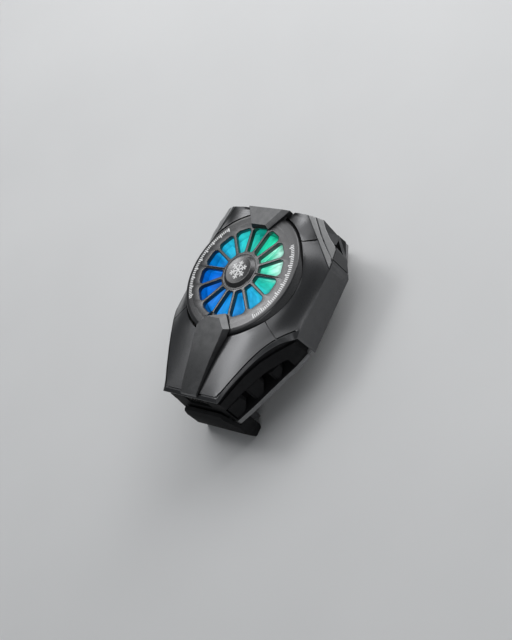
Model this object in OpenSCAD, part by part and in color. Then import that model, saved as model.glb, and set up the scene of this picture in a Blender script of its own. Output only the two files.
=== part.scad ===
// Clip-on phone cooling fan: a thermoelectric cold plate on the back, a
// ducted fan behind a round grille on the front, and two spring-loaded jaws
// that grip a phone across its width.
// Frame: the origin is the centre of the cold face, +Z points along the fan
// axis towards the grille, +Y along the body towards the head end.

/* [Body] */
// Half of the body's width, across its side walls
half_w = 29.1; // [28.8:0.1:29.6]
// Height of the ring's face above the cold face, round the slots
ring_z = 19.9; // [19.9:0.1:20.3]
// Wall thickness of the moulded shells
wall = 1.4; // [1.2:0.1:1.6]
// Radius of the round opening in the front shell
lip_r = 24.15; // [24.1:0.05:24.3]

/* [Grille] */
// Outer radius of the ring's face
ring_r = 23.05; // [22.85:0.1:23.25]
// Number of slots in the grille
slot_count = 14; // [10:2:18]
// Radius at the outer end of the slots
slot_out_r = 17.64; // [17:0.02:17.8]
// Radius of the grille's hub
hub_r = 7.13; // [6.8:0.01:7.4]
// Width of a spoke between two slots
spoke_w = 1.25; // [1:0.05:1.6]

/* [Fan] */
// Number of fan blades
blade_count = 9; // [7:1:11]
// Radius of the blade tips
blade_r = 16.7; // [16:0.1:16.8]
// Pitch of the blades, from flat
blade_pitch = 38; // [30:1:42]
// Radius of the fan's shaft
shaft_r = 0.75; // [0.6:0.05:0.9]
// Radial running clearance of the shaft
shaft_gap = 0.04; // [0.02:0.01:0.08]

/* [Cooler] */
// Side of the square contact pad
pad_w = 30; // [29:0.5:30]
// Side of the square cold plate
plate_w = 29; // [28:0.5:29]
// Side of the thermoelectric module
tec_w = 20; // [18:1:20]
// Number of heat sink fins
fin_count = 15; // [11:2:17]
// Thickness of a fin
fin_t = 0.7; // [0.5:0.1:1]

/* [Clamp] */
// How far the jaw tips reach behind the cold face
jaw_drop = 8.6; // [8:0.1:9.5]
// Half of the head jaw's width
head_jaw_hw = 15; // [13:0.5:15.5]
// Half of the tail jaw's width
tail_jaw_hw = 12; // [11:0.5:12]
// Number of turns in a return spring
spring_turns = 8; // [6:1:9]

/* [Hidden] */
$fn = 64;

head_y = 24.7;      // head end of the front shell
tail_y = -45.9;     // tail end of the front shell
base_z0 = 1;        // back of the base plate
base_z1 = 3;        // front of the base plate
arm_z0 = 3.2;       // slide arms
arm_z1 = 5;
sink_z0 = 5.4;      // heat sink base
sink_z1 = 6.9;
fin_z1 = 11.2;      // fin tips, under the fan frame
frame_z1 = 12.2;    // fan frame's ring
spoke_z0 = 17.8;    // grille spokes
hub_z = ring_z + 0.25; // spokes and hub, in the middle of the face
boss_at = [[24.6, -13], [24.6, 9]];
screw_r = 0.8;
post_at = [[12.6, -31], [-12.6, -31], [0, -34.5]];
pcb_z0 = 9.55;
pcb_z1 = 10.55;
usb_z = 12.2;       // centre of the charging port

// ---------------------------------------------------------------- helpers
module rrect(w, h, r) {
  square([w - 2 * r, h], center = true);
  square([w, h - 2 * r], center = true);
  for (sx = [-1, 1], sy = [-1, 1])
    translate([sx * (w / 2 - r), sy * (h / 2 - r)]) circle(r);
}
module both() { children(); mirror([1, 0, 0]) children(); }
module along_x(x0, x1) { translate([x0, 0, 0]) rotate([90, 0, 90]) linear_extrude(x1 - x0) children(); }
module along_y(y0, y1) { translate([0, y1, 0]) rotate([90, 0, 0]) linear_extrude(y1 - y0) children(); }
module ring(r0, r1, z0, z1) {
  difference() {
    translate([0, 0, z0]) cylinder(r = r1, h = z1 - z0);
    translate([0, 0, z0 - 1]) cylinder(r = r0, h = z1 - z0 + 2);
  }
}
function unit(v) = v / norm(v);
function mix(a, b, t) = a + (b - a) * t;
function flipx(p) = concat([-p[0]], [for (i = [1 : len(p) - 1]) p[i]]);
function rev(l) = [for (i = [len(l) - 1 : -1 : 0]) l[i]];

// Side faces of a loft: n sections of m points, joined end to end if closed
function side_tris(n, m, closed) = [
  for (i = [0 : n - (closed ? 1 : 2)]) for (j = [0 : m - 1])
    let (a = i * m + j, b = i * m + (j + 1) % m,
         c = ((i + 1) % n) * m + (j + 1) % m, d = ((i + 1) % n) * m + j)
    each [[a, c, b], [a, d, c]]];
function end_caps(n, m) = [[for (j = [0 : m - 1]) j],
  [for (j = [m - 1 : -1 : 0]) (n - 1) * m + j]];
module loft(sections, closed) {
  n = len(sections);
  m = len(sections[0]);
  polyhedron(points = [for (s = sections) each s],
    faces = concat(side_tris(n, m, closed), closed ? [] : end_caps(n, m)), convexity = 10);
}
// Convex solid through a list of points
module solid_of(pts) {
  hull() polyhedron(points = pts, faces = [for (i = [0 : len(pts) - 3]) [i, i + 1, i + 2]]);
}
// Rounded corner of a polygon: its two tangent points, then its centre
function corner(p, q, s, r) = let (u = unit(p - q), v = unit(s - q), a = acos(u * v) / 2)
  [q + u * r / tan(a), q + v * r / tan(a), q + unit(u + v) * r / sin(a)];
module rounded(pts, rs) {
  n = len(pts);
  cs = [for (i = [0 : n - 1]) corner(pts[(i + n - 1) % n], pts[i], pts[(i + 1) % n], rs[i])];
  polygon([for (c = cs) each [c[0], c[1]]]);
  for (i = [0 : n - 1]) translate(cs[i][2]) circle(rs[i]);
}

// ------------------------------------------------------------ front shell
// Half of the outline from the tail round to the head. Each row gives the
// crease (x, y, z), the edge below it (x, y, z), the bottom edge's height,
// the height at the round opening, how hollow the flank is, its slope at the
// opening as a share of its mean slope, and how far the wall leans in.
shell_half = [
  [0, tail_y + 1.3, 16.8, 0, tail_y + 0.2, 16.15, 15.75, 18.8, 0, 0.5, 0],
  [12.4, tail_y + 1.3, 16.8, 12.85, tail_y + 0.2, 16.15, 15.75, 18.8, 0, 0.5, 0],
  [13.7, -41.5, 16.9, 14.2, -41.6, 16.3, 15.95, 18.8, 0, 0.5, 0],
  [15.4, -37.8, 17.1, 15.9, -37.75, 16.5, 16.15, 18.8, 0, 0.5, 0],
  [17.7, -32.8, 17.15, 18.2, -32.9, 16.5, 16.15, 18.8, 0, 0.5, 0],
  [20, -28.1, 17, 20.5, -28.3, 16.3, 15.95, 18.8, 0, 0.5, 0],
  [22.3, -23.7, 16.45, 22.85, -23.95, 15.5, 15.15, 18.4, 0.1, 0.5, 0],
  [24.6, -20, 15.5, 25.1, -20.3, 14.1, 13.75, 18, 0.25, 0.5, 0],
  [26.9, -16.8, 14.1, 27.4, -18, 12.6, 12.2, 17.5, 0.55, 0.5, 0],
  [half_w - 0.7, -14.8, 12.95, half_w, -16.6, 12, 11.55, 17.3, 0.85, 0.5, 0],
  [half_w - 0.6, -14.65, 12.9, half_w, -16.4, 11.95, 1.1, 17.3, 0.85, 0.5, 0],
  [half_w - 0.1, -13.9, 12.42, half_w, -13.8, 12.2, 1.1, 17.15, 1, 0.5, 0],
  [half_w - 0.1, -2, 12.01, half_w, -2, 11.78, 1.1, 16.5, 1, 0.5, 0],
  [half_w - 0.1, 9.7, 11.6, half_w, 9.8, 11.35, 1.1, 17.85, 0, 0.95, 0],
  [27.86, 11.2, 12.37, half_w, 11.5, 11.6, 1.1, 18.2, 0, 0.95, 0],
  [26.75, 12.65, 13.12, half_w, 12.7, 11.8, 2.25, 18.45, 0, 0.95, 0],
  [26.6, 12.85, 13.22, half_w - 0.03, 13.04, 11.86, 2.6, 18.5, 0, 0.95, 0],
  [24.03, 16.3, 15, half_w - 0.1, 16.42, 12.2, 5.7, 18.95, 0, 0.95, 0],
  [22.75, 17.9, 15.83, 28.52, 17.5, 12.6, 6.6, 19, 0, 0.95, 0],
  [21, 20.2, 17, 28.3, 20.9, 12.75, 12.2, 19.05, 0, 0.95, 0],
  [17.6, head_y - 0.22, 19.3, 22.1, head_y - 0.05, 16.65, 8, 18.95, 0, 0.95, 1.6],
  [12.7, head_y + 0.05, 19.45, 12.7, head_y + 0.35, 19.05, 8, 18.8, 0, 0.95, 0],
  [10.95, head_y, 19.5, 10.95, head_y + 0.25, 19.1, 8, 18.7, 0, 0.95, 0],
  [10.05, head_y - 0.2, 18.9, 10.05, head_y, 18.5, 8, 18.7, 0, 0.95, 0]];
shell_steps = [3, 1, 1, 1, 1, 1, 1, 1, 2, 1, 1, 4, 4, 1, 1, 1, 2, 1, 2, 3, 2, 1, 1];
shell_right = concat([for (i = [0 : len(shell_half) - 2]) each
    [for (k = [0 : shell_steps[i] - 1]) mix(shell_half[i], shell_half[i + 1], k / shell_steps[i])]],
  [shell_half[len(shell_half) - 1]]);
shell_line = concat([for (s = rev([for (i = [1 : len(shell_right) - 1]) shell_right[i]]))
    [-s[0], s[1], s[2], -s[3], s[4], s[5], s[6], s[7], s[8], s[9], s[10]]], shell_right);
function hollow(f) = f - 0.0557 * sin(360 * f);
function flank(s, f) = mix(s[7], s[2], mix(s[9] * f + (1 - s[9]) * f * f, hollow(f), s[8]));
flank_f = [0, 0.16, 0.36, 0.55, 0.78, 1];
function outward(l, i, k) = let (n = len(l), a = l[max(i - 1, 0)], b = l[min(i + 1, n - 1)],
    t = unit([b[k] - a[k], b[k + 1] - a[k + 1]])) [t[1], -t[0]];
function shell_section(i) = let (s = shell_line[i], n = len(shell_line),
    last = (i == 0 || i == n - 1), p = [s[0], s[1]], b = [s[3], s[4]],
    o = last ? unit(p) : outward(shell_line, i, 0), fi = atan2(p[1], p[0]),
    c = lip_r * [cos(fi), sin(fi)], b2 = last ? p + o * 0.25 : b,
    pin = p - o * wall, low = b2 - o * s[10])
  concat(
    [for (f = flank_f) let (q = mix(c, p, f)) [q[0], q[1], flank(s, f)]],
    [[b2[0], b2[1], s[5]], [low[0], low[1], s[6]], [low[0] - o[0] * wall, low[1] - o[1] * wall, s[6]],
     [b2[0] - o[0] * wall, b2[1] - o[1] * wall, max(s[5] - wall, s[6] + 0.1)]],
    [for (f = rev(flank_f)) let (q = mix(c, pin, f)) [q[0], q[1], flank(s, f) - wall]]);
module front_shell() {
  color([0.22, 0.23, 0.24]) difference() {
    loft([for (i = [0 : len(shell_line) - 1]) shell_section(i)], false);
    both() {
      along_x(25.5, 31) polygon([[17.2, 12.72], [19.75, 12.72], [16.7, 8]]);
      along_x(27.3, 31) polygon([[17.15, 12.3], [17.15, 13.4], [17.75, 13.4], [18.4, 12.3]]);
    }
  }
}

// ----------------------------------------------------------------- grille
module slot_2d() {
  hw0 = 7.75 * tan(180 / slot_count) - spoke_w / 2;
  hw1 = slot_out_r * tan(180 / slot_count) - spoke_w / 2;
  rounded([[7.75, -hw0], [slot_out_r, -hw1], [slot_out_r, hw1], [7.75, hw0]], [0.6, 1.5, 1.5, 0.6]);
}
// The grille's face from the middle out: raised over the spokes, bevelled at the rim
face_line = [[0, hub_z], [18.4, hub_z], [20.2, ring_z], [ring_r - 1.2, ring_z - 0.1], [ring_r, ring_z - 0.47]];
module fan_grille() {
  color([0.27, 0.28, 0.29]) difference() {
    rotate_extrude($fn = 96) polygon(concat([[0, spoke_z0]], face_line, [[ring_r + 0.2, ring_z - 0.8], [24, 17], [24, 15.6],
      [23.83, 15.4], [23.83, frame_z1], [22.6, frame_z1], [22.6, spoke_z0]]));
    for (k = [0 : slot_count - 1]) rotate((k + 0.5) * 360 / slot_count)
      translate([0, 0, spoke_z0 - 1]) linear_extrude(5) slot_2d();
  }
}
// Room for the grille under the pieces that lie over it
module grille_room() {
  rotate_extrude($fn = 96) polygon(concat([[0, 5], [24.2, 5], [24.2, ring_z - 0.65]],
    rev([for (p = face_line) [p[0], p[1] + 0.05]])));
}
module hub_cap() {
  color([0.3, 0.31, 0.32]) rotate_extrude($fn = 96)
    polygon([[0, hub_z], [6.7, hub_z], [6.7, hub_z + 0.29], [6.3, hub_z + 0.35], [6.15, hub_z + 0.45],
      [5.2, hub_z + 1.2], [5.05, hub_z + 1.25], [4.8, hub_z + 1.21], [0, hub_z + 1.15]]);
}
// Raised rib on the tail end: a long bevelled bar that runs up over the ring
// Each row: ridge, foot and underside of the rib's right half
rib_half = [
  [[3.75, -45.1, 17.55], [3.98, -45.5, 16.85], [4.1, -45.6, 15.5]],
  [[4.42, -37.95, 19.05], [4.8, -37.25, 17.8], [4.95, -37.1, 16.5]],
  [[4.95, -32, 20.15], [5.5, -30.65, 18.4], [5.65, -30.5, 17.2]],
  [[5.74, -26, 21.2], [6.3, -25.3, 18.7], [6.45, -25.1, 17.5]],
  [[6.1, -22.1, 21.85], [7.3, -21.05, 20.2], [7.3, -21.05, 17.5]],
  [[2.95, -18.75, 22.4], [3.48, -16.15, 21], [3.48, -16.15, 17.5]]];
function tail_top(y) = let (f = (norm([5, y]) - lip_r) / (45.2 - lip_r)) 18.8 - f - f * abs(f);
module nose_rib() {
  color([0.3, 0.31, 0.32]) difference() {
    for (i = [0 : len(rib_half) - 2]) let (h = concat(rib_half[i], rib_half[i + 1]))
      solid_of(concat(h, [for (p = h) flipx(p)]));
    grille_room();
    along_x(-20, 20) polygon(concat([for (y = [-23 : -3 : -50]) [y, tail_top(y) + 0.1]], [[-50, 8], [-23, 8]]));
  }
}
// Raised wedge on the head end, with the closing piece of the head wall
module head_wedge() {
  half = [[7.6, 23.95, 22.3], [3.23, 17.45, 22.13], [9.6, 24.65, 20.6], [3.72, 16.72, 20.55], [9.6, 24.65, 18.5],
    [3.72, 16.72, 18.5]];
  color([0.25, 0.26, 0.27]) difference() {
    union() {
      solid_of(concat(half, [for (p = half) flipx(p)]));
      translate([-8.4, 21, 17]) cube([16.8, 3.55, 2.5]);
      translate([0, 0, 8]) linear_extrude(9.9)
        polygon([[-9.93, head_y], [9.93, head_y], [8.43, 21], [-8.43, 21]]);
    }
    grille_room();
  }
}
// Two-bar trim on each head corner, on the bevel under the crease
module corner_trim_right() {
  k1 = [29.1, 9.7, 11.6]; hc = [17.6, 24.48, 19.3]; bo = [22.1, 24.65, 16.65];
  nrm = unit(cross(bo - k1, hc - k1));
  function at(p) = [p[0], p[1], k1[2] - (nrm[0] * (p[0] - k1[0]) + nrm[1] * (p[1] - k1[1])) / nrm[2]];
  u = unit([nrm[2], 0, -nrm[0]]);
  v = cross(nrm, u);
  module bar(plan) {
    multmatrix([[u[0], v[0], nrm[0], k1[0]], [u[1], v[1], nrm[1], k1[1]], [u[2], v[2], nrm[2], k1[2]], [0, 0, 0, 1]])
      translate([0, 0, 0.3]) linear_extrude(0.3) polygon([for (p = plan) [(at(p) - k1) * u, (at(p) - k1) * v]]);
  }
  color([0.6, 0.61, 0.62]) {
    bar([[28.79, 9.75], [24.75, 14.95], [21.4, 19.15], [17.4, 24.3], [19.55, 24.35], [21.45, 21.55], [22.8, 19.5],
      [24.9, 16.85], [28.15, 13.35], [28.85, 11.9]]);
    bar([[28.75, 12.7], [25.3, 16.85], [23.2, 19.6], [21.85, 21.65], [20.05, 24.4], [21.95, 24.45], [23.65, 21.85],
      [25.7, 19.45], [28.1, 17.35], [28.6, 16.4]]);
  }
}
module corner_trim_left() { mirror([1, 0, 0]) corner_trim_right(); }

// ----------------------------------------------------------- rear housing
// Each row: bottom edge (x, y), top edge (x, y), top edge's height
rear_half = [
  [0, -46, 0, -45.2, 13.5], [12, -46, 11.9, -45.2, 13.5], [15.45, -39.95, 14.3, -39.9, 13.9],
  [18.85, -33.85, 17.1, -34, 14.1], [22.25, -27.85, 20, -28.1, 13.3], [25.1, -23.1, 22.5, -23.4, 11.7],
  [27.7, -17.7, 26.4, -17.9, 9.8], [27.2, -17.1, 27.2, -17.1, 9.8], [27.2, 12.6, 27.2, 12.6, 10],
  [26.6, 16, 26.6, 16, 10], [25.6, 18.6, 25.4, 18.4, 8], [22.4, 24.3, 22.2, 24.2, 7.6], [0, 24.3, 0, 24.2, 7.6]];
rear_line = concat(rear_half, rev([for (i = [1 : len(rear_half) - 2]) let (s = rear_half[i])
  [-s[0], s[1], -s[2], s[3], s[4]]]));
function round_out(l, i, k) = let (n = len(l), p = [l[i][k], l[i][k + 1]],
    a = [l[(i + n - 1) % n][k], l[(i + n - 1) % n][k + 1]], b = [l[(i + 1) % n][k], l[(i + 1) % n][k + 1]],
    u = unit(p - a), v = unit(b - p), m = unit([u[1] + v[1], -u[0] - v[0]])) m / max(0.55, m * [v[1], -v[0]]);
function rear_section(i) = let (s = rear_line[i], ob = round_out(rear_line, i, 0), ot = round_out(rear_line, i, 2), w = 1.5)
  [[s[2], s[3], s[4]], [s[0], s[1], base_z1], [s[0] - w * ob[0], s[1] - w * ob[1], base_z1],
   [s[2] - w * ot[0], s[3] - w * ot[1], s[4]]];
// Inner step that closes the seam under the front shell
function step_section(i) = let (s = rear_line[i], ot = round_out(rear_line, i, 2), h = s[1] < -16 ? 1.2 : -0.4)
  [for (p = [[0.95, h], [0.95, -1], [2, -1], [2, h]]) [s[2] - p[0] * ot[0], s[3] - p[0] * ot[1], s[4] + p[1]]];
vent_dir = [15.7, 28.3];
// Opening in the vent wall: distance from the tail corner, height
module vent(pts) {
  translate([12, -46, 0]) rotate(atan2(vent_dir[1], vent_dir[0])) translate([0, 7, 0])
    rotate([90, 0, 0]) linear_extrude(13) polygon(pts);
}
module rear_housing() {
  color([0.13, 0.13, 0.14]) difference() {
    union() {
      loft([for (i = [0 : len(rear_line) - 1]) rear_section(i)], true);
      loft([for (i = [0 : len(rear_line) - 1]) step_section(i)], true);
      both() for (p = boss_at) translate([p[0], p[1], base_z1]) cylinder(r = 2.2, h = 7.5);
    }
    both() {
      vent([[3.6, 2.9], [5.4, 4.2], [6.5, 5.84], [6.05, 9.1], [6, 10.2], [10, 10.05], [10, 2.9]]);
      vent([[12.3, 2.9], [14.9, 5.6], [15.1, 9], [15.1, 9.65], [19.3, 9], [19.3, 2.9]]);
      vent([[20.8, 2.9], [22.8, 4.7], [23, 7.8], [25.8, 7], [26.6, 6.3], [26.6, 2.9]]);
      for (p = boss_at) translate([p[0], p[1], 0]) cylinder(r = screw_r + 0.05, h = 10);
      translate([7.3, -50, 2]) cube([3.4, 10, 3.3]);
      translate([11.5, 20, 2]) cube([3.2, 8, 3.3]);
    }
    translate([-5.2, -50, 9.4]) cube([10.4, 7, 8]);
  }
}

// ------------------------------------------------------------- base plate
base_half = [[12.2, -46.1], [16, -40.2], [19.4, -34.1], [22.8, -28.1], [25.7, -23.3], [28.2, -17.6],
  [27.4, -17], [27.4, 12.4], [26.4, 15.6], [25.4, 18], [22.4, 24.3]];
module base_plate() {
  color([0.2, 0.2, 0.21]) difference() {
    union() {
      translate([0, 0, base_z0]) linear_extrude(base_z1 - base_z0)
        polygon(concat(base_half, rev([for (p = base_half) flipx(p)])));
      for (p = post_at) translate([p[0], p[1], base_z1 - 0.5]) cylinder(r = 1.3, h = pcb_z0 - base_z1 + 0.5);
    }
    translate([0, 0, 0]) linear_extrude(5) rrect(plate_w + 0.4, plate_w + 0.4, 2.2);
    for (p = post_at) translate([p[0], p[1], 5]) cylinder(r = 0.65, h = 10);
    both() for (p = boss_at) translate([p[0], p[1], 0]) {
      cylinder(r = 1.05, h = 5);
      translate([0, 0, 0]) cylinder(r = 2, h = 2);
    }
  }
}
module contact_pad() {
  color([0.55, 0.57, 0.6]) linear_extrude(0.8) rrect(pad_w, pad_w, 2.5);
}
module cold_plate() {
  color([0.8, 0.8, 0.82]) translate([0, 0, 0.8]) linear_extrude(1.8) rrect(plate_w, plate_w, 2);
}
module insulation_frame() {
  color([0.1, 0.1, 0.1]) difference() {
    translate([0, 0, 2.6]) linear_extrude(sink_z0 - 2.6) difference() {
      square(22.4, center = true);
      square(tec_w + 0.4, center = true);
    }
    translate([-2.6, -14, 2.5]) cube([5.2, 5, 4]);
  }
}
module peltier_ceramics() {
  color([0.93, 0.93, 0.9]) for (z = [2.6, sink_z0 - 0.7])
    translate([-tec_w / 2, -tec_w / 2, z]) cube([tec_w, tec_w, 0.7]);
}
module peltier_elements() {
  color([0.5, 0.5, 0.52]) for (i = [-4 : 4], j = [-3 : 3])
    translate([i * 2 - 0.6, j * 2.2 - 0.6, 3.3]) cube([1.2, 1.2, sink_z0 - 4]);
}
module peltier_leads() {
  color([0.7, 0.1, 0.1]) both() {
    translate([1.6, -9.5, 4]) rotate([90, 0, 0]) cylinder(r = 0.55, h = 18.9, $fn = 24);
    translate([1.6, -28.4, 4]) sphere(r = 0.55, $fn = 24);
    translate([1.6, -28.4, 4]) cylinder(r = 0.55, h = pcb_z0 - 4, $fn = 24);
  }
}
module heat_sink() {
  color([0.72, 0.73, 0.75]) {
    translate([0, 0, sink_z0]) linear_extrude(sink_z1 - sink_z0)
      polygon([[-18, -26], [18, -26], [20.8, -18], [20.8, 18], [-20.8, 18], [-20.8, -18]]);
    for (i = [0 : fin_count - 1]) translate([-17.5 + i * (35 - fin_t) / (fin_count - 1), -25.5, sink_z1 - 0.2])
      cube([fin_t, 43, fin_z1 - sink_z1 + 0.2]);
  }
}

// -------------------------------------------------------------------- fan
module fan_frame() {
  color([0.1, 0.1, 0.11]) difference() {
    union() {
      ring(17, 23.6, fin_z1, frame_z1);
      translate([0, 0, fin_z1]) cylinder(r = 7, h = 0.7);
      for (k = [0 : 2]) rotate(90 + k * 120) translate([6, -1.4, fin_z1]) cube([12, 2.8, 0.7]);
      translate([0, 0, fin_z1]) cylinder(r = 2.2, h = 4.4);
    }
    translate([0, 0, fin_z1 + 0.3]) cylinder(r = 1.6, h = 8);
  }
}
module light_ring() {
  color([0.75, 0.88, 1]) ring(17.3, 18.9, frame_z1, spoke_z0);
}
module led_board() {
  color([0.1, 0.3, 0.15]) ring(19.1, 22.4, frame_z1, frame_z1 + 0.8);
}
module leds() {
  color([0.95, 0.95, 0.85]) for (k = [0 : 11]) rotate(15 + k * 30)
    translate([19.5, -1, frame_z1 + 0.8]) cube([1.6, 2, 0.8]);
}
module bearing_sleeve() {
  color([0.75, 0.55, 0.25]) ring(shaft_r + shaft_gap, 1.6, fin_z1 + 0.9, fin_z1 + 4.4);
}
module stator_core() {
  color([0.5, 0.5, 0.52]) {
    ring(2.2, 3, 13.2, 15.2);
    for (k = [0 : 5]) rotate(k * 60) {
      translate([2.8, -0.5, 13.4]) cube([1.6, 1, 1.6]);
      intersection() {
        ring(4.3, 4.9, 13.3, 15.1);
        translate([4, -1.6, 13]) cube([2, 3.2, 3]);
      }
    }
  }
}
module stator_coils() {
  color([0.72, 0.38, 0.15]) for (k = [0 : 5]) rotate(k * 60) difference() {
    translate([3.15, -0.95, 12.95]) cube([1.05, 1.9, 2.5]);
    translate([3, -0.5, 13.4]) cube([2, 1, 1.6]);
  }
}
module motor_board() {
  color([0.1, 0.3, 0.15]) ring(2.2, 5.8, fin_z1 + 0.7, fin_z1 + 1.3);
}
module fan_lead() {
  color([0.15, 0.15, 0.15]) {
    translate([-1.5, -29.5, 11.5]) cube([3, 5.9, 0.6]);
    translate([-1.5, -30.1, pcb_z1]) cube([3, 0.6, 12.1 - pcb_z1]);
    translate([-1.5, -29.6, 11.5]) cube([3, 0.2, 0.6]);
  }
}
module blade() {
  intersection() {
    ring(7, blade_r, 12.7, 17.3);
    translate([12, 0, 15]) rotate([blade_pitch, 0, 0]) translate([-6, -3.3, -0.3]) cube([12, 6.6, 0.6]);
  }
}
module fan_impeller() {
  color([0.8, 0.86, 0.92]) union() {
    difference() {
      translate([0, 0, 12.7]) cylinder(r = 7.3, h = 4.6);
      translate([0, 0, 12]) cylinder(r = 6.5, h = 4.5);
      translate([0, 0, 12]) cylinder(r = shaft_r, h = 5);
    }
    for (k = [0 : blade_count - 1]) rotate(k * 360 / blade_count) blade();
  }
}
module rotor_yoke() { color([0.45, 0.45, 0.47]) ring(6.05, 6.5, 12.9, 16.5); }
module rotor_magnet() { color([0.2, 0.2, 0.2]) ring(5.25, 6.05, 13, 15.6); }
module rotor_shaft() {
  color([0.85, 0.85, 0.87]) translate([0, 0, fin_z1 + 1]) cylinder(r = shaft_r, h = 17 - fin_z1 - 1);
}

// ------------------------------------------------------------ electronics
module control_board() {
  color([0.08, 0.28, 0.16]) difference() {
    translate([0, 0, pcb_z0]) linear_extrude(pcb_z1 - pcb_z0)
      polygon([[-9.6, -43.2], [9.6, -43.2], [10.4, -40], [13.9, -30], [13.9, -27.2], [-13.9, -27.2], [-13.9, -30], [-10.4, -40]]);
    for (p = post_at) translate([p[0], p[1], 5]) cylinder(r = 0.75, h = 10);
  }
}
module board_components() {
  color([0.12, 0.12, 0.13]) {
    translate([3.4, -34, pcb_z1]) cube([5, 5, 1]);
    translate([-8.4, -33.4, pcb_z1]) cube([4.4, 4, 1.6]);
    translate([6.4, -41, pcb_z1]) cube([2.4, 3.4, 0.9]);
    translate([-8.8, -41, pcb_z1]) cube([2, 1.2, 0.8]);
    translate([-8.8, -38.4, pcb_z1]) cube([2, 1.2, 0.8]);
    translate([10.2, -30, pcb_z1]) cube([1.4, 2, 0.8]);
  }
}
module board_screws() {
  color([0.75, 0.76, 0.78]) for (p = post_at) translate([p[0], p[1], 0]) {
    translate([0, 0, pcb_z1]) difference() {
      cylinder(r = 1.25, h = 0.8);
      translate([0, 0, 0.4]) cylinder(r = 0.5, h = 1, $fn = 6);
    }
    translate([0, 0, 6]) cylinder(r = 0.6, h = pcb_z1 - 6);
  }
}
module usb_receptacle() {
  color([0.8, 0.8, 0.82]) difference() {
    along_y(-44.9, -37.8) translate([0, usb_z]) rrect(8.94, 3.26, 1.55);
    along_y(-46, -38.2) translate([0, usb_z]) rrect(8.34, 2.66, 1.28);
  }
}
module usb_tongue() {
  color([0.08, 0.08, 0.08]) along_y(-44.3, -38.2) translate([0, usb_z]) rrect(6.7, 0.7, 0.3);
}

// -------------------------------------------------------------- fasteners
module case_screws() {
  color([0.7, 0.71, 0.73]) both() for (p = boss_at) translate([p[0], p[1], 0]) {
    difference() {
      translate([0, 0, 1.05]) cylinder(r = 1.8, h = 0.95);
      translate([0, 0, 0.5]) cylinder(r = 0.8, h = 1.1, $fn = 6);
    }
    translate([0, 0, 1.9]) cylinder(r = screw_r, h = 7.6);
  }
}
module rail_guides() {
  color([0.3, 0.3, 0.31]) both() {
    translate([10.4, 15.2, base_z1]) cube([1.2, 7, 2.35]);
    translate([14.6, 18.6, base_z1]) cube([0.55, 3.6, 2.35]);
    difference() {
      translate([6.4, -43.4, base_z1]) cube([5, 7.4, 3]);
      translate([7.4, -44, base_z1 - 0.5]) cube([3.2, 9, 2.7]);
    }
  }
}

// ------------------------------------------------------------------ clamp
function coil(x, y0, y1, z, rc, rw, n) = let (per = 8, sides = 5, last = n * per) [for (i = [0 : last])
  let (a = i * 360 / per, y = mix(y0 + rw, y1 - rw, i / last))
  [for (j = [0 : sides - 1]) let (b = j * 360 / sides, r = rc + rw * cos(b))
    [x + r * cos(a), y + rw * sin(b), z + r * sin(a)]]];
module spring(x, y0, y1) { loft([for (s = rev(coil(x, y0, y1, 4.15, 0.78, 0.18, spring_turns))) s], false); }
module jaw(profile, front, arc_y, arc_r) {
  intersection() {
    along_x(-20, 20) polygon(profile);
    along_y(-60, 60) polygon(front);
    translate([0, arc_y, -20]) cylinder(r = arc_r, h = 40, $fn = 96);
  }
}
module head_jaw() {
  d = -jaw_drop; w = head_jaw_hw;
  color([0.14, 0.14, 0.15])
    jaw([[25, 7], [26.4, 6.6], [27.1, 4.6], [27.3, 1.3], [26.6, -4.6], [25.4, d + 0.4], [24.8, d], [22, d],
        [21.3, d + 1], [21.2, -6.9], [21.2, 0.6], [25, 0.6]],
      [[-w, d], [w, d], [w, 1.5], [w - 4, 7], [4 - w, 7], [-w, 1.5]], 27.3 - 100, 100);
}
module tail_jaw() {
  d = -jaw_drop; w = tail_jaw_hw;
  color([0.1, 0.1, 0.11])
    jaw([[-46.35, 8], [-47.6, 7.6], [-48.3, 5.6], [-48.5, 1.3], [-47.6, -4.6], [-46.4, d + 0.4], [-45.8, d], [-42.8, d],
        [-42.1, d + 1], [-42, -6.9], [-42, 0.6], [-46.35, 0.6]],
      [[-w, d], [w, d], [w, 2], [w - 3.6, 8], [3.6 - w, 8], [-w, 2]], -48.5 + 90, 90);
}
module head_jaw_pad() {
  color([0.25, 0.25, 0.26]) along_x(-14.4, 14.4)
    polygon([[21.2, -1.2], [19.9, -1.2], [19.9, 0.2], [18.8, -0.2], [18.6, -1.6], [18.6, -5], [18.9, -6.5], [19.9, -6.5],
      [19.9, -4.6], [21.2, -4.6]]);
}
module tail_jaw_pad() {
  color([0.25, 0.25, 0.26]) along_x(-11.6, 11.6)
    polygon([[-42, -1.2], [-40.6, -1.2], [-40.6, 0.2], [-39.5, -0.2], [-39.2, -1.6], [-39.2, -5], [-39.5, -6.5],
      [-40.6, -6.5], [-40.6, -4.6], [-42, -4.6]]);
}
module head_slide() {
  color([0.6, 0.61, 0.63]) both() {
    translate([11.8, 3, arm_z0]) cube([2.6, 22, arm_z1 - arm_z0]);
    translate([14.2, 3, arm_z0]) cube([3.2, 1.8, arm_z1 - arm_z0]);
  }
}
module tail_slide() {
  color([0.6, 0.61, 0.63]) both() {
    translate([7.6, -46.35, arm_z0]) cube([2.8, 26.35, arm_z1 - arm_z0]);
    translate([3.4, -22, arm_z0]) cube([4.4, 2, arm_z1 - arm_z0]);
  }
}
module head_springs() { color([0.8, 0.8, 0.82]) both() spring(16.3, 4.85, 22.6); }
module tail_springs() { color([0.8, 0.8, 0.82]) both() spring(4.6, -44.3, -22.05); }

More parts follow.
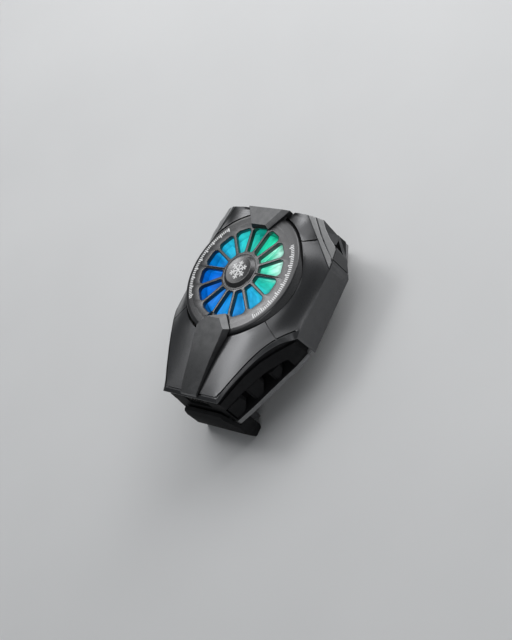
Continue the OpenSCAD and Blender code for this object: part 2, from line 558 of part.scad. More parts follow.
// ------------------------------------------------------------------- draw
front_shell();
fan_grille();
hub_cap();
nose_rib();
head_wedge();
corner_trim_left();
corner_trim_right();
rear_housing();
base_plate();
contact_pad();
cold_plate();
insulation_frame();
peltier_ceramics();
peltier_elements();
peltier_leads();
heat_sink();
fan_frame();
light_ring();
led_board();
leds();
bearing_sleeve();
stator_core();
stator_coils();
motor_board();
fan_lead();
fan_impeller();
rotor_yoke();
rotor_magnet();
rotor_shaft();
control_board();
board_components();
board_screws();
usb_receptacle();
usb_tongue();
case_screws();
rail_guides();
head_slide();
head_jaw();
head_jaw_pad();
head_springs();
tail_slide();
tail_jaw();
tail_jaw_pad();
tail_springs();
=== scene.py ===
import math
import bpy
import bmesh
import numpy as np
from mathutils import Matrix, Vector


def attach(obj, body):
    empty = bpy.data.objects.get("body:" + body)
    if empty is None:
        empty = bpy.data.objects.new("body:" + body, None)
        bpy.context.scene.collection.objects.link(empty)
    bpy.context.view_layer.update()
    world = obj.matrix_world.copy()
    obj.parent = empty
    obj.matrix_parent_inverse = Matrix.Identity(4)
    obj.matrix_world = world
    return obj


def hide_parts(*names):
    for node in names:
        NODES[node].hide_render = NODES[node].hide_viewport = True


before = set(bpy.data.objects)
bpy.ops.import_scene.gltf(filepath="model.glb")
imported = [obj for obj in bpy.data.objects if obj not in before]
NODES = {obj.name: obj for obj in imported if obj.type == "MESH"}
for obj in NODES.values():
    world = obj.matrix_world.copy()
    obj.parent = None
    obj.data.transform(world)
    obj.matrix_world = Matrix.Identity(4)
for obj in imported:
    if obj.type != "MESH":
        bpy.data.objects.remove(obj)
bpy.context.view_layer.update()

MM = 0.001
scene = bpy.context.scene

# ------------------------------------------------------------------ helpers


def link(ob):
    scene.collection.objects.link(ob)
    return ob


def make(name, verts, faces, fix=True):
    """A mesh object from points in millimetres."""
    me = bpy.data.meshes.new(name)
    me.from_pydata([tuple(float(c) * MM for c in v) for v in verts], [], [tuple(f) for f in faces])
    me.validate()
    if fix:
        bm = bmesh.new()
        bm.from_mesh(me)
        bmesh.ops.remove_doubles(bm, verts=bm.verts, dist=1e-7)
        bmesh.ops.recalc_face_normals(bm, faces=bm.faces)
        bm.to_mesh(me)
        bm.free()
    return link(bpy.data.objects.new(name, me))


def join(name, obs):
    """One object from several, keeping their meshes as they are."""
    bm = bmesh.new()
    for o in obs:
        me = baked(o)
        bm.from_mesh(me)
        bpy.data.meshes.remove(me)
    me = bpy.data.meshes.new(name)
    bm.to_mesh(me)
    bm.free()
    for o in obs:
        bpy.data.objects.remove(o)
    return link(bpy.data.objects.new(name, me))


def baked(o):
    """The object's mesh with its modifiers applied and its transform in it."""
    bpy.context.view_layer.update()
    ev = o.evaluated_get(bpy.context.evaluated_depsgraph_get())
    me = bpy.data.meshes.new_from_object(ev)
    me.transform(o.matrix_world)
    return me


def apply(o):
    me = baked(o)
    o.modifiers.clear()
    old = o.data
    o.data = me
    o.matrix_world = Matrix.Identity(4)
    bpy.data.meshes.remove(old)
    return o


def cut(o, tool, op="DIFFERENCE"):
    m = o.modifiers.new("cut", "BOOLEAN")
    m.operation = op
    m.solver = "EXACT"
    m.object = tool
    apply(o)
    bpy.data.objects.remove(tool)
    return o


def bevel(o, w=0.2, seg=3, angle=28, profile=0.5):
    m = o.modifiers.new("edge", "BEVEL")
    m.width = w * MM
    m.segments = seg
    m.limit_method = "ANGLE"
    m.angle_limit = math.radians(angle)
    m.profile = profile
    m.use_clamp_overlap = True
    m.miter_outer = "MITER_ARC"
    return o


def smooth(o, angle=32):
    """Smooth shading, with edges sharper than angle kept crisp."""
    me = o.data
    bm = bmesh.new()
    bm.from_mesh(me)
    lim = math.radians(angle)
    for f in bm.faces:
        f.smooth = True
    for e in bm.edges:
        e.smooth = not (len(e.link_faces) != 2 or e.calc_face_angle(0.0) > lim)
    bm.to_mesh(me)
    bm.free()
    return o


def weighted(o):
    m = o.modifiers.new("wn", "WEIGHTED_NORMAL")
    m.keep_sharp = True
    m.weight = 60
    return o


def done(o, body, mat, slot, *nodes):
    o.data.materials.clear()
    o.data.materials.append(mat)
    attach(o, body)
    if nodes:
        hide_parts(*nodes)
    return o


def revolve(name, profile, seg=160, closed=True):
    """Solid of revolution about Z from (r, z) points."""
    n = len(profile)
    vs, fs = [], []
    for i in range(seg):
        a = 2 * math.pi * i / seg
        for r, z in profile:
            vs.append((r * math.cos(a), r * math.sin(a), z))
    for i in range(seg):
        k = (i + 1) % seg
        for j in range(n if closed else n - 1):
            l = (j + 1) % n
            fs.append((i * n + j, k * n + j, k * n + l, i * n + l))
    return make(name, vs, fs)


def revolve_at(name, profile, x, y, seg):
    o = revolve(name, profile, seg)
    o.data.transform(Matrix.Translation((x * MM, y * MM, 0)))
    return o


def prism(name, poly, axis, a, b):
    """Polygon swept along an axis: 'x' takes (y, z), 'y' takes (x, z), 'z' takes (x, y)."""
    def at(p, t):
        return {"x": (t, p[0], p[1]), "y": (p[0], t, p[1]), "z": (p[0], p[1], t)}[axis]
    n = len(poly)
    vs = [at(p, a) for p in poly] + [at(p, b) for p in poly]
    fs = [tuple(range(n)), tuple(range(2 * n - 1, n - 1, -1))]
    fs += [(i, (i + 1) % n, n + (i + 1) % n, n + i) for i in range(n)]
    return make(name, vs, fs)


def hull(name, pts):
    bm = bmesh.new()
    vs = [bm.verts.new(tuple(c * MM for c in p)) for p in pts]
    out = bmesh.ops.convex_hull(bm, input=vs)
    inner = [v for v in out["geom_interior"] if isinstance(v, bmesh.types.BMVert)]
    bmesh.ops.delete(bm, geom=inner, context="VERTS")
    bmesh.ops.dissolve_limit(bm, angle_limit=math.radians(0.6), verts=bm.verts, edges=bm.edges)
    bmesh.ops.recalc_face_normals(bm, faces=bm.faces)
    me = bpy.data.meshes.new(name)
    bm.to_mesh(me)
    bm.free()
    return link(bpy.data.objects.new(name, me))


def loft(name, sections, closed):
    n, m = len(sections), len(sections[0])
    vs = [p for s in sections for p in s]
    fs = []
    for i in range(n if closed else n - 1):
        k = (i + 1) % n
        for j in range(m):
            l = (j + 1) % m
            fs.append((i * m + j, i * m + l, k * m + l, k * m + j))
    if not closed:
        fs += [tuple(range(m - 1, -1, -1)), tuple((n - 1) * m + j for j in range(m))]
    return make(name, vs, fs)


def plate(name, loops, z0, z1, edge, res=2):
    """Flat plate with holes: closed loops of (x, y), rounded along every edge."""
    cu = bpy.data.curves.new(name, "CURVE")
    cu.dimensions = "2D"
    cu.fill_mode = "BOTH"
    cu.extrude = ((z1 - z0) / 2 - edge) * MM
    cu.bevel_depth = edge * MM
    cu.bevel_resolution = res
    cu.offset = -edge * MM
    for lp in loops:
        sp = cu.splines.new("POLY")
        sp.points.add(len(lp) - 1)
        for p, q in zip(sp.points, lp):
            p.co = (q[0] * MM, q[1] * MM, 0, 1)
        sp.use_cyclic_u = True
    o = link(bpy.data.objects.new(name + "_c", cu))
    o.location.z = (z0 + z1) / 2 * MM
    me = baked(o)
    bpy.data.objects.remove(o)
    bm = bmesh.new()
    bm.from_mesh(me)
    bmesh.ops.remove_doubles(bm, verts=bm.verts, dist=2e-7)
    bmesh.ops.recalc_face_normals(bm, faces=bm.faces)
    bm.to_mesh(me)
    bm.free()
    me.name = name
    return link(bpy.data.objects.new(name, me))


def rounded(pts, rs, n=6):
    """Polygon with rounded corners, as points."""
    out = []
    m = len(pts)
    for i in range(m):
        p, q, s = (np.array(pts[k % m], float) for k in (i - 1, i, i + 1))
        r = rs[i] if hasattr(rs, "__len__") else rs
        if r <= 0:
            out.append(tuple(q))
            continue
        u, v = (p - q) / np.linalg.norm(p - q), (s - q) / np.linalg.norm(s - q)
        a = math.acos(max(-1, min(1, float(u @ v)))) / 2
        t = r / math.tan(a)
        c = q + (u + v) / np.linalg.norm(u + v) * r / math.sin(a)
        a0 = q + u * t - c
        a1 = q + v * t - c
        t0, t1 = math.atan2(a0[1], a0[0]), math.atan2(a1[1], a1[0])
        d = (t1 - t0 + math.pi) % (2 * math.pi) - math.pi
        out += [(c[0] + r * math.cos(t0 + d * k / n), c[1] + r * math.sin(t0 + d * k / n)) for k in range(n + 1)]
    return out


def mirror_x(pts):
    return [(-p[0],) + tuple(p[1:]) for p in pts]


def mirrored(name, o):
    """A left-hand copy of o."""
    me = baked(o)
    me.transform(Matrix.Scale(-1, 4, Vector((1, 0, 0))))
    me.flip_normals()
    me.name = name
    return link(bpy.data.objects.new(name, me))


# ---------------------------------------------------------------- materials


def nodes_of(name):
    m = bpy.data.materials.new(name)
    m.use_nodes = True
    nt = m.node_tree
    b = nt.nodes["Principled BSDF"]
    return m, nt, b


def noise(nt, scale, detail=2.0, rough=0.5, vec=None, dist=0.0):
    n = nt.nodes.new("ShaderNodeTexNoise")
    n.inputs["Scale"].default_value = scale
    n.inputs["Detail"].default_value = detail
    n.inputs["Roughness"].default_value = rough
    n.inputs["Distortion"].default_value = dist
    if vec is not None:
        nt.links.new(vec, n.inputs["Vector"])
    return n.outputs["Fac"]


def coords(nt):
    return nt.nodes.new("ShaderNodeTexCoord").outputs["Object"]


def remap(nt, fac, a, b, lo, hi):
    n = nt.nodes.new("ShaderNodeMapRange")
    for k, v in zip(("From Min", "From Max", "To Min", "To Max"), (a, b, lo, hi)):
        n.inputs[k].default_value = v
    nt.links.new(fac, n.inputs["Value"])
    return n.outputs["Result"]


def math_node(nt, op, a, b=None):
    n = nt.nodes.new("ShaderNodeMath")
    n.operation = op
    for i, v in enumerate((a, b)):
        if v is None:
            continue
        if isinstance(v, (int, float)):
            n.inputs[i].default_value = v
        else:
            nt.links.new(v, n.inputs[i])
    return n.outputs[0]


def blend_col(nt, fac, c0, c1):
    n = nt.nodes.new("ShaderNodeMix")
    n.data_type = "RGBA"
    for i, v in ((6, c0), (7, c1)):
        if isinstance(v, (tuple, list)):
            n.inputs[i].default_value = (*v[:3], 1)
        else:
            nt.links.new(v, n.inputs[i])
    nt.links.new(fac, n.inputs[0])
    return n.outputs[2]


def bump(nt, fac, strength, dist, normal=None):
    n = nt.nodes.new("ShaderNodeBump")
    n.inputs["Strength"].default_value = strength
    n.inputs["Distance"].default_value = dist
    nt.links.new(fac, n.inputs["Height"])
    if normal is not None:
        nt.links.new(normal, n.inputs["Normal"])
    return n.outputs["Normal"]


def satin(name, col, metallic=0.0, rough=0.45, grain=0.12, grain_scale=5200, vary=0.05, wear_and_edge_highlight=0.25, wear_and_highlight_col=None, spec=0.5, coat=0.0):
    """Moulded or painted surface: fine grain, faint mottling, and lighter convex edges, partly wear and partly a
    painted edge highlight.
    """
    m, nt, b = nodes_of(name)
    v = coords(nt)
    fine = noise(nt, grain_scale, 2.0, 0.6, v)
    mid = noise(nt, 420, 3.0, 0.55, v)
    big = noise(nt, 38, 3.0, 0.55, v)
    lo = tuple(c * (1 - vary) for c in col)
    hi = tuple(min(1, c * (1 + vary)) for c in col)
    c = blend_col(nt, remap(nt, big, 0.3, 0.7, 0, 1), lo, hi)
    flake = remap(nt, fine, 0.35, 0.75, 0.0, 0.5)
    c = blend_col(nt, flake, c, tuple(min(1, x * 1.35) for x in col))
    # wear and painted highlight: convex edges found by pointiness are lightened, partly as edge wear and partly as a
    # painted edge highlight
    if wear_and_edge_highlight > 0:
        g = nt.nodes.new("ShaderNodeNewGeometry")
        e = remap(nt, g.outputs["Pointiness"], 0.505, 0.56, 0.0, 1.0)
        e = math_node(nt, "MULTIPLY", e, remap(nt, mid, 0.35, 0.65, 0.25, 1.0))
        e = math_node(nt, "MULTIPLY", e, wear_and_edge_highlight)
        c = blend_col(nt, e, c, wear_and_highlight_col or tuple(min(1, x * 2.4 + 0.02) for x in col))
    nt.links.new(c, b.inputs["Base Color"])
    r = math_node(nt, "ADD", remap(nt, big, 0.3, 0.7, rough - 0.01, rough + 0.01), remap(nt, fine, 0.3, 0.7, -0.03, 0.03))
    nt.links.new(r, b.inputs["Roughness"])
    b.inputs["Metallic"].default_value = metallic
    b.inputs["Specular IOR Level"].default_value = spec
    if coat:
        b.inputs["Coat Weight"].default_value = coat
        b.inputs["Coat Roughness"].default_value = 0.3
    n1 = bump(nt, fine, grain, 0.00004)
    nt.links.new(n1, b.inputs["Normal"])
    return m


def metal(name, col, rough=0.3, brush=(1, 1, 60), vary=0.1, metallic=1.0):
    """Metal with a directional brushed or milled grain."""
    m, nt, b = nodes_of(name)
    mp = nt.nodes.new("ShaderNodeMapping")
    nt.links.new(coords(nt), mp.inputs["Vector"])
    mp.inputs["Scale"].default_value = brush
    g = noise(nt, 900, 3.0, 0.6, mp.outputs["Vector"])
    big = noise(nt, 60, 2.0, 0.5, coords(nt))
    c = blend_col(nt, remap(nt, g, 0.3, 0.7, 0, 1), tuple(x * (1 - vary) for x in col), tuple(min(1, x * (1 + vary)) for x in col))
    c = blend_col(nt, remap(nt, big, 0.45, 0.75, 0, 0.35), c, tuple(x * 0.75 for x in col))
    nt.links.new(c, b.inputs["Base Color"])
    nt.links.new(remap(nt, g, 0.25, 0.75, rough - 0.06, rough + 0.1), b.inputs["Roughness"])
    b.inputs["Metallic"].default_value = metallic
    nt.links.new(bump(nt, g, 0.12, 0.00003), b.inputs["Normal"])
    return m


def rubber(name, col, rough=0.75):
    m, nt, b = nodes_of(name)
    v = coords(nt)
    fine = noise(nt, 3800, 3.0, 0.65, v)
    big = noise(nt, 120, 3.0, 0.6, v)
    c = blend_col(nt, remap(nt, big, 0.3, 0.75, 0, 1), tuple(x * 0.82 for x in col), tuple(min(1, x * 1.25 + 0.004) for x in col))
    nt.links.new(c, b.inputs["Base Color"])
    nt.links.new(remap(nt, fine, 0.3, 0.7, rough - 0.08, rough + 0.08), b.inputs["Roughness"])
    b.inputs["Sheen Weight"].default_value = 0.15
    b.inputs["Specular IOR Level"].default_value = 0.35
    nt.links.new(bump(nt, fine, 0.25, 0.00005), b.inputs["Normal"])
    return m


def glow_ramp(nt):
    """Colour of the lights round the fan, painted on as glow: blue at the tail left, mint at the head right. It follows
    the place in the case, so it stays put as the fan turns under it."""
    g = nt.nodes.new("ShaderNodeNewGeometry")
    s = nt.nodes.new("ShaderNodeSeparateXYZ")
    nt.links.new(g.outputs["Position"], s.inputs[0])
    x = math_node(nt, "ADD", s.outputs["X"], 0.0025)
    y = math_node(nt, "ADD", s.outputs["Y"], -0.00096)
    a = math_node(nt, "ARCTAN2", y, x)
    f = math_node(nt, "FRACT", math_node(nt, "ADD", math_node(nt, "MULTIPLY", a, 1 / (2 * math.pi)), 1.0))
    r = nt.nodes.new("ShaderNodeValToRGB")
    cr = r.color_ramp
    cr.interpolation = "EASE"
    stops = [
        (0.000, (0.06, 0.70, 0.52)), (0.036, (0.10, 0.84, 0.56)), (0.107, (0.11, 0.86, 0.55)), (0.179, (0.015, 0.70, 0.40)),
        (0.250, (0.010, 0.52, 0.40)), (0.321, (0.030, 0.62, 0.64)), (0.393, (0.020, 0.48, 0.72)), (0.464, (0.002, 0.215, 0.64)),
        (0.536, (0.000, 0.145, 0.70)), (0.607, (0.000, 0.150, 0.70)), (0.679, (0.002, 0.200, 0.72)), (0.750, (0.004, 0.300, 0.82)),
        (0.821, (0.005, 0.260, 0.70)), (0.893, (0.025, 0.450, 0.78)), (0.964, (0.020, 0.570, 0.46)), (1.000, (0.06, 0.70, 0.52)),
    ]
    while len(cr.elements) < len(stops):
        cr.elements.new(0.5)
    for e, (p, c) in zip(cr.elements, stops):
        e.position = p
        e.color = (*c, 1)
    nt.links.new(f, r.inputs["Fac"])
    rad = math_node(nt, "SQRT", math_node(nt, "ADD", math_node(nt, "POWER", x, 2.0), math_node(nt, "POWER", y, 2.0)))
    # painted highlight: the glow nearest the head's right corner washes out to white
    win = remap(nt, math_node(nt, "COSINE", math_node(nt, "SUBTRACT", a, 0.46)), 0.84, 0.97, 0.0, 1.0)
    painted_highlight = math_node(nt, "MULTIPLY", win, remap(nt, rad, 0.0108, 0.0150, 0.0, 0.8))
    col = blend_col(nt, painted_highlight, r.outputs["Color"], (0.62, 1.0, 0.88))
    # painted highlight streaks along the radius
    v = nt.nodes.new("ShaderNodeCombineXYZ")
    nt.links.new(math_node(nt, "MULTIPLY", a, 7.0), v.inputs[0])
    nt.links.new(math_node(nt, "MULTIPLY", rad, 170.0), v.inputs[1])
    painted_streaks = noise(nt, 1.0, 3.0, 0.6, v.outputs[0], 0.6)
    return col, rad, s.outputs["Z"], painted_streaks


def lit(name, base, strength, rough=0.5):
    """Milky plastic with the glow of the ring of lights painted on as emission, plus painted highlights and painted
    shade.
    """
    m, nt, b = nodes_of(name)
    col, rad, high, painted_streaks = glow_ramp(nt)
    v = coords(nt)
    cl = noise(nt, 260, 3.0, 0.55, v, 0.4)
    # the base colour is tinted up to 3% towards the painted glow colour, at random
    nt.links.new(blend_col(nt, remap(nt, cl, 0.3, 0.7, 0, 0.03), tuple(base), col), b.inputs["Base Color"])
    # painted shade: the glow dims towards the hub and towards the outer rim
    band = remap(nt, rad, 0.0080, 0.0118, 0.66, 1.0)
    painted_rim_shade = remap(nt, rad, 0.0152, 0.0176, 1.0, 0.22)
    k = math_node(nt, "MULTIPLY", band, painted_rim_shade)
    # painted highlight streaks, then painted light and shade by height: the blades' tops brighter, their lower parts
    # darker
    k = math_node(nt, "MULTIPLY", k, remap(nt, painted_streaks, 0.3, 0.7, 0.66, 1.28))
    k = math_node(nt, "MULTIPLY", k, remap(nt, high, 0.0148, 0.0168, 0.72, 1.08))
    # painted glow: the light of the ring of lights is put on as emission colour and strength
    nt.links.new(col, b.inputs["Emission Color"])
    nt.links.new(math_node(nt, "MULTIPLY", k, strength), b.inputs["Emission Strength"])
    nt.links.new(remap(nt, cl, 0.3, 0.7, rough - 0.08, rough + 0.1), b.inputs["Roughness"])
    b.inputs["Specular IOR Level"].default_value = 0.15
    nt.links.new(bump(nt, noise(nt, 1500, 2, 0.5, v), 0.1, 0.00003), b.inputs["Normal"])
    return m


GREY = (0.088, 0.089, 0.092)
M_SHELL = satin("shell_satin", GREY, metallic=0.8, rough=0.30, grain=0.10)
M_RING = satin("ring_satin", (0.090, 0.090, 0.092), metallic=0.8, rough=0.29, grain=0.10)
M_RIB = satin("rib_satin", (0.080, 0.081, 0.083), metallic=0.8, rough=0.30, grain=0.09)
M_TRIM = satin("trim_satin", (0.36, 0.361, 0.364), metallic=0.8, rough=0.36, grain=0.06)
M_FRAME = satin("frame_black", (0.014, 0.0142, 0.015), metallic=0.0, rough=0.62, grain=0.2, grain_scale=3600, spec=0.07)
# painted light: a lighter, less metallic copy of the base's grey for the base's rim faces, standing for light falling
# on the rim
M_EDGE = satin("base_rim_painted_light", (0.17, 0.171, 0.174), metallic=0.25, rough=0.45, grain=0.08)
M_SINK = metal("anodised_black", (0.022, 0.022, 0.024), 0.5, (60, 1, 1), 0.15, 0.6)
M_BASE = satin("base_dark", (0.06, 0.061, 0.063), metallic=0.6, rough=0.44, grain=0.12)
M_JAW = satin("jaw_black", (0.016, 0.0162, 0.017), metallic=0.0, rough=0.7, grain=0.14, spec=0.04)
M_WHITE = satin("print_white", (0.94, 0.945, 0.95), rough=0.5, grain=0.15, vary=0.04, wear_and_edge_highlight=0.0)
M_PAD = rubber("silicone_black", (0.045, 0.046, 0.048))
M_THERMAL = rubber("silicone_grey", (0.26, 0.27, 0.29), 0.6)
M_FOAM = rubber("foam", (0.02, 0.02, 0.021), 0.9)
M_ALU = metal("aluminium_milled", (0.70, 0.71, 0.73), 0.34, (60, 1, 1))
M_STEEL = metal("steel", (0.52, 0.52, 0.54), 0.32, (1, 30, 1))
M_SCREW = metal("screw_steel", (0.36, 0.36, 0.37), 0.35, (8, 8, 1))
M_PLATED = metal("plated_steel", (0.72, 0.71, 0.69), 0.2, (1, 30, 1))
M_COPPER = metal("copper_wire", (0.75, 0.33, 0.14), 0.34, (1, 1, 90), 0.25)
M_BRONZE = metal("bronze", (0.55, 0.38, 0.18), 0.4, (1, 1, 4))
M_FERRITE = metal("ferrite", (0.06, 0.06, 0.063), 0.6, (2, 2, 2), 0.2, 0.6)
M_PCB = satin("solder_mask", (0.02, 0.11, 0.055), rough=0.38, grain=0.05, vary=0.2, wear_and_edge_highlight=0.1)
M_CHIP = satin("chip_resin", (0.018, 0.018, 0.02), rough=0.5, grain=0.2)
M_CERAMIC = satin("ceramic", (0.82, 0.81, 0.77), rough=0.55, grain=0.15, vary=0.05, wear_and_edge_highlight=0.0)
M_LEAD = satin("lead_insulation", (0.42, 0.03, 0.03), rough=0.45, grain=0.05)
M_LEAD_B = satin("lead_black", (0.03, 0.03, 0.032), rough=0.45, grain=0.05)
# painted glow: the fan's blades are no lamp, so their glow is the ring of lights' light painted on, with painted
# highlights and shade; the light ring and the LEDs glow as lamps under the same painted highlights and shade
M_BLADE = lit("blade_lit", (0.004, 0.010, 0.018), 1.05)
M_GUIDE = lit("guide_lit", (0.004, 0.010, 0.018), 0.8)
M_LED = lit("led_lit", (0.9, 0.95, 1.0), 3.0)

# -------------------------------------------------------------- front shell
TAIL, HEAD, LIP, HW = -45.9, 24.7, 24.15, 29.1
# crease, edge under it, shoulder, bottom, height at the ring (set later by angle), hollow
ROWS = [
    [0, -44.6, 16.8, 0, -45.7, 16.15, 0, -45.75, 16.0, 0, -45.7, 15.75, 0, 0],
    [12.4, -44.6, 16.8, 12.85, -45.7, 16.15, 12.9, -45.75, 16.0, 12.85, -45.7, 15.75, 0, 0],
    [13.7, -41.5, 16.9, 14.2, -41.6, 16.3, 14.25, -41.6, 16.15, 14.2, -41.6, 15.95, 0, 0],
    [15.4, -37.8, 17.1, 15.9, -37.75, 16.5, 15.95, -37.75, 16.35, 15.9, -37.75, 16.15, 0, 0],
    [17.7, -32.8, 17.15, 18.2, -32.9, 16.5, 18.25, -32.9, 16.35, 18.2, -32.9, 16.15, 0, 0],
    [20, -28.1, 17, 20.5, -28.3, 16.3, 20.55, -28.3, 16.15, 20.5, -28.3, 15.95, 0, 0],
    [22.3, -23.7, 16.45, 22.85, -23.95, 15.5, 22.9, -23.95, 15.35, 22.85, -23.95, 15.15, 0, .1],
    [24.6, -20, 15.5, 25.1, -20.3, 14.1, 25.15, -20.3, 13.95, 25.1, -20.3, 13.75, 0, .25],
    [26.9, -16.8, 14.1, 27.4, -18, 12.6, 27.45, -18.05, 12.4, 27.4, -18, 12.2, 0, .55],
    [HW - .7, -14.8, 12.95, HW - .05, -16.6, 12.0, HW, -16.6, 11.85, HW - .05, -16.6, 11.55, 0, .85],
    [HW - .6, -14.65, 12.9, HW, -16.4, 11.95, HW, -16.4, 11.5, HW, -16.4, 1.1, 0, .85],
    [HW - .1, -13.9, 12.42, HW, -13.8, 12.2, HW, -13.8, 11.7, HW, -13.8, 1.1, 0, 1],
    [HW - .1, 9.7, 11.6, HW, 9.8, 11.35, HW, 9.85, 10.8, HW, 9.8, 1.1, 0, 1],
    [27.86, 11.2, 12.37, HW, 11.5, 11.6, HW, 11.5, 11.2, HW, 11.5, 1.1, 0, .9],
    [26.75, 12.65, 13.12, HW - .02, 12.7, 11.8, HW, 12.7, 11.5, HW, 12.7, 2.25, 0, .8],
    [26.72, 12.69, 13.14, HW - .4, 12.76, 11.8, HW - .4, 12.76, 11.4, HW - .4, 12.76, 2.3, 0, .8],
    [26.63, 12.81, 13.2, HW - .4, 12.98, 11.83, HW - .4, 12.98, 11.4, HW - .4, 12.98, 2.55, 0, .8],
    [26.6, 12.85, 13.22, HW - .04, 13.04, 11.86, HW - .02, 13.04, 11.6, HW - .02, 13.04, 2.6, 0, .8],
    [24.03, 16.3, 15, HW - .15, 16.4, 12.2, HW - .1, 16.42, 11.9, HW - .1, 16.42, 5.7, 0, .5],
    [22.75, 17.9, 15.83, 28.5, 17.5, 12.6, 28.55, 17.55, 12.3, 28.55, 17.55, 6.6, 0, .4],
    [21, 20.2, 17, 28.25, 20.85, 12.75, 28.3, 20.9, 12.55, 28.2, 20.85, 12.2, 0, .2],
    [17.6, HEAD - .22, 19.3, 22.1, HEAD - .05, 16.65, 22.1, HEAD - .1, 16.35, 20.9, 23.5, 8.0, 0, 0],
    [12.7, HEAD + .05, 19.45, 12.7, HEAD + .3, 19.05, 12.7, HEAD + .35, 18.6, 12.7, HEAD + .3, 8.0, 0, 0],
    [10.95, HEAD, 19.5, 10.95, HEAD + .2, 19.1, 10.95, HEAD + .25, 18.65, 10.95, HEAD + .2, 8.0, 0, 0],
    [10.05, HEAD - .2, 18.9, 10.05, HEAD - .05, 18.6, 10.05, HEAD, 18.2, 10.05, HEAD - .05, 8.0, 0, 0],
]
STEPS = [16, 5, 6, 8, 8, 8, 7, 7, 6, 1, 3, 34, 3, 3, 1, 1, 1, 7, 3, 6, 12, 10, 4, 3]
TURN = sum(STEPS[:10])
# the flank's height where it meets the ring, by angle
RISE = [(-90, 18.8), (-54, 18.8), (-46.7, 18.4), (-39, 18.0), (-32, 17.5), (-24, 17.12), (-16, 16.85), (-8, 16.6), (-2, 16.5), (4, 16.6),
        (10, 17.05), (16, 17.55), (22, 18.2), (28, 18.7), (36, 19.0), (45, 19.05), (54, 18.95), (62, 18.8), (68, 18.7)]


def rise(deg):
    a = np.arange(-110, 90, 0.5)
    h = np.interp(a, [p[0] for p in RISE], [p[1] for p in RISE])
    for _ in range(40):
        h[1:-1] = 0.25 * h[:-2] + 0.5 * h[1:-1] + 0.25 * h[2:]
    return np.interp(deg, a, h)


def stations():
    rows = np.array(ROWS, float)
    out = []
    for i, n in enumerate(STEPS):
        p1, p2 = rows[i], rows[i + 1]
        for k in range(n):
            t = k / n
            if 1 <= i <= 8:
                p0 = rows[i - 1] if i > 1 else 2 * p1 - p2
                p3 = rows[i + 2] if i < 8 else 2 * p2 - p1
                out.append(0.5 * (2 * p1 + (p2 - p0) * t + (2 * p0 - 5 * p1 + 4 * p2 - p3) * t * t + (3 * p1 - p0 - 3 * p2 + p3) * t ** 3))
            else:
                out.append(p1 + (p2 - p1) * t)
    out.append(rows[-1])
    out = np.array(out)
    out[:, 12] = rise(np.degrees(np.arctan2(out[:, 1], out[:, 0])))
    return out


def hollow(f):
    f = np.asarray(f, float)
    return f - 0.35 / (2 * math.pi) * np.sin(2 * math.pi * f)


def shell_surface(st):
    """Flank points for every station and share f from the ring to the crease."""
    f = np.linspace(0, 1, 41)
    fi = np.arctan2(st[:, 1], st[:, 0])
    c = LIP * np.stack([np.cos(fi), np.sin(fi)], 1)
    xy = c[:, None, :] + (st[:, None, :2] - c[:, None, :]) * f[None, :, None]
    k = (st[:, 13] * np.interp(np.degrees(fi), [4, 17], [1.0, 0.0]))[:, None]
    a = np.interp(np.degrees(fi), [2, 17], [0.5, 0.95])[:, None]
    g = (a * f[None, :] + (1 - a) * f[None, :] ** 2) * (1 - k) + hollow(f)[None, :] * k
    z = st[:, 12][:, None] + (st[:, 2] - st[:, 12])[:, None] * g
    P = np.concatenate([xy, z[:, :, None]], 2)
    w = (np.clip(f / 0.12, 0, 1) * np.clip((1 - f) / 0.3, 0, 1))[None, :, None]
    for _ in range(60):
        P[1:-1] += 0.5 * w * (0.5 * (P[:-2] + P[2:]) - P[1:-1])
    return f, P


def normals(P):
    du = np.gradient(P, axis=0)
    dv = np.gradient(P, axis=1)
    n = np.cross(du, dv)
    n /= np.maximum(np.linalg.norm(n, axis=2, keepdims=True), 1e-12)
    return np.where(n[:, :, 2:3] < 0, -n, n)


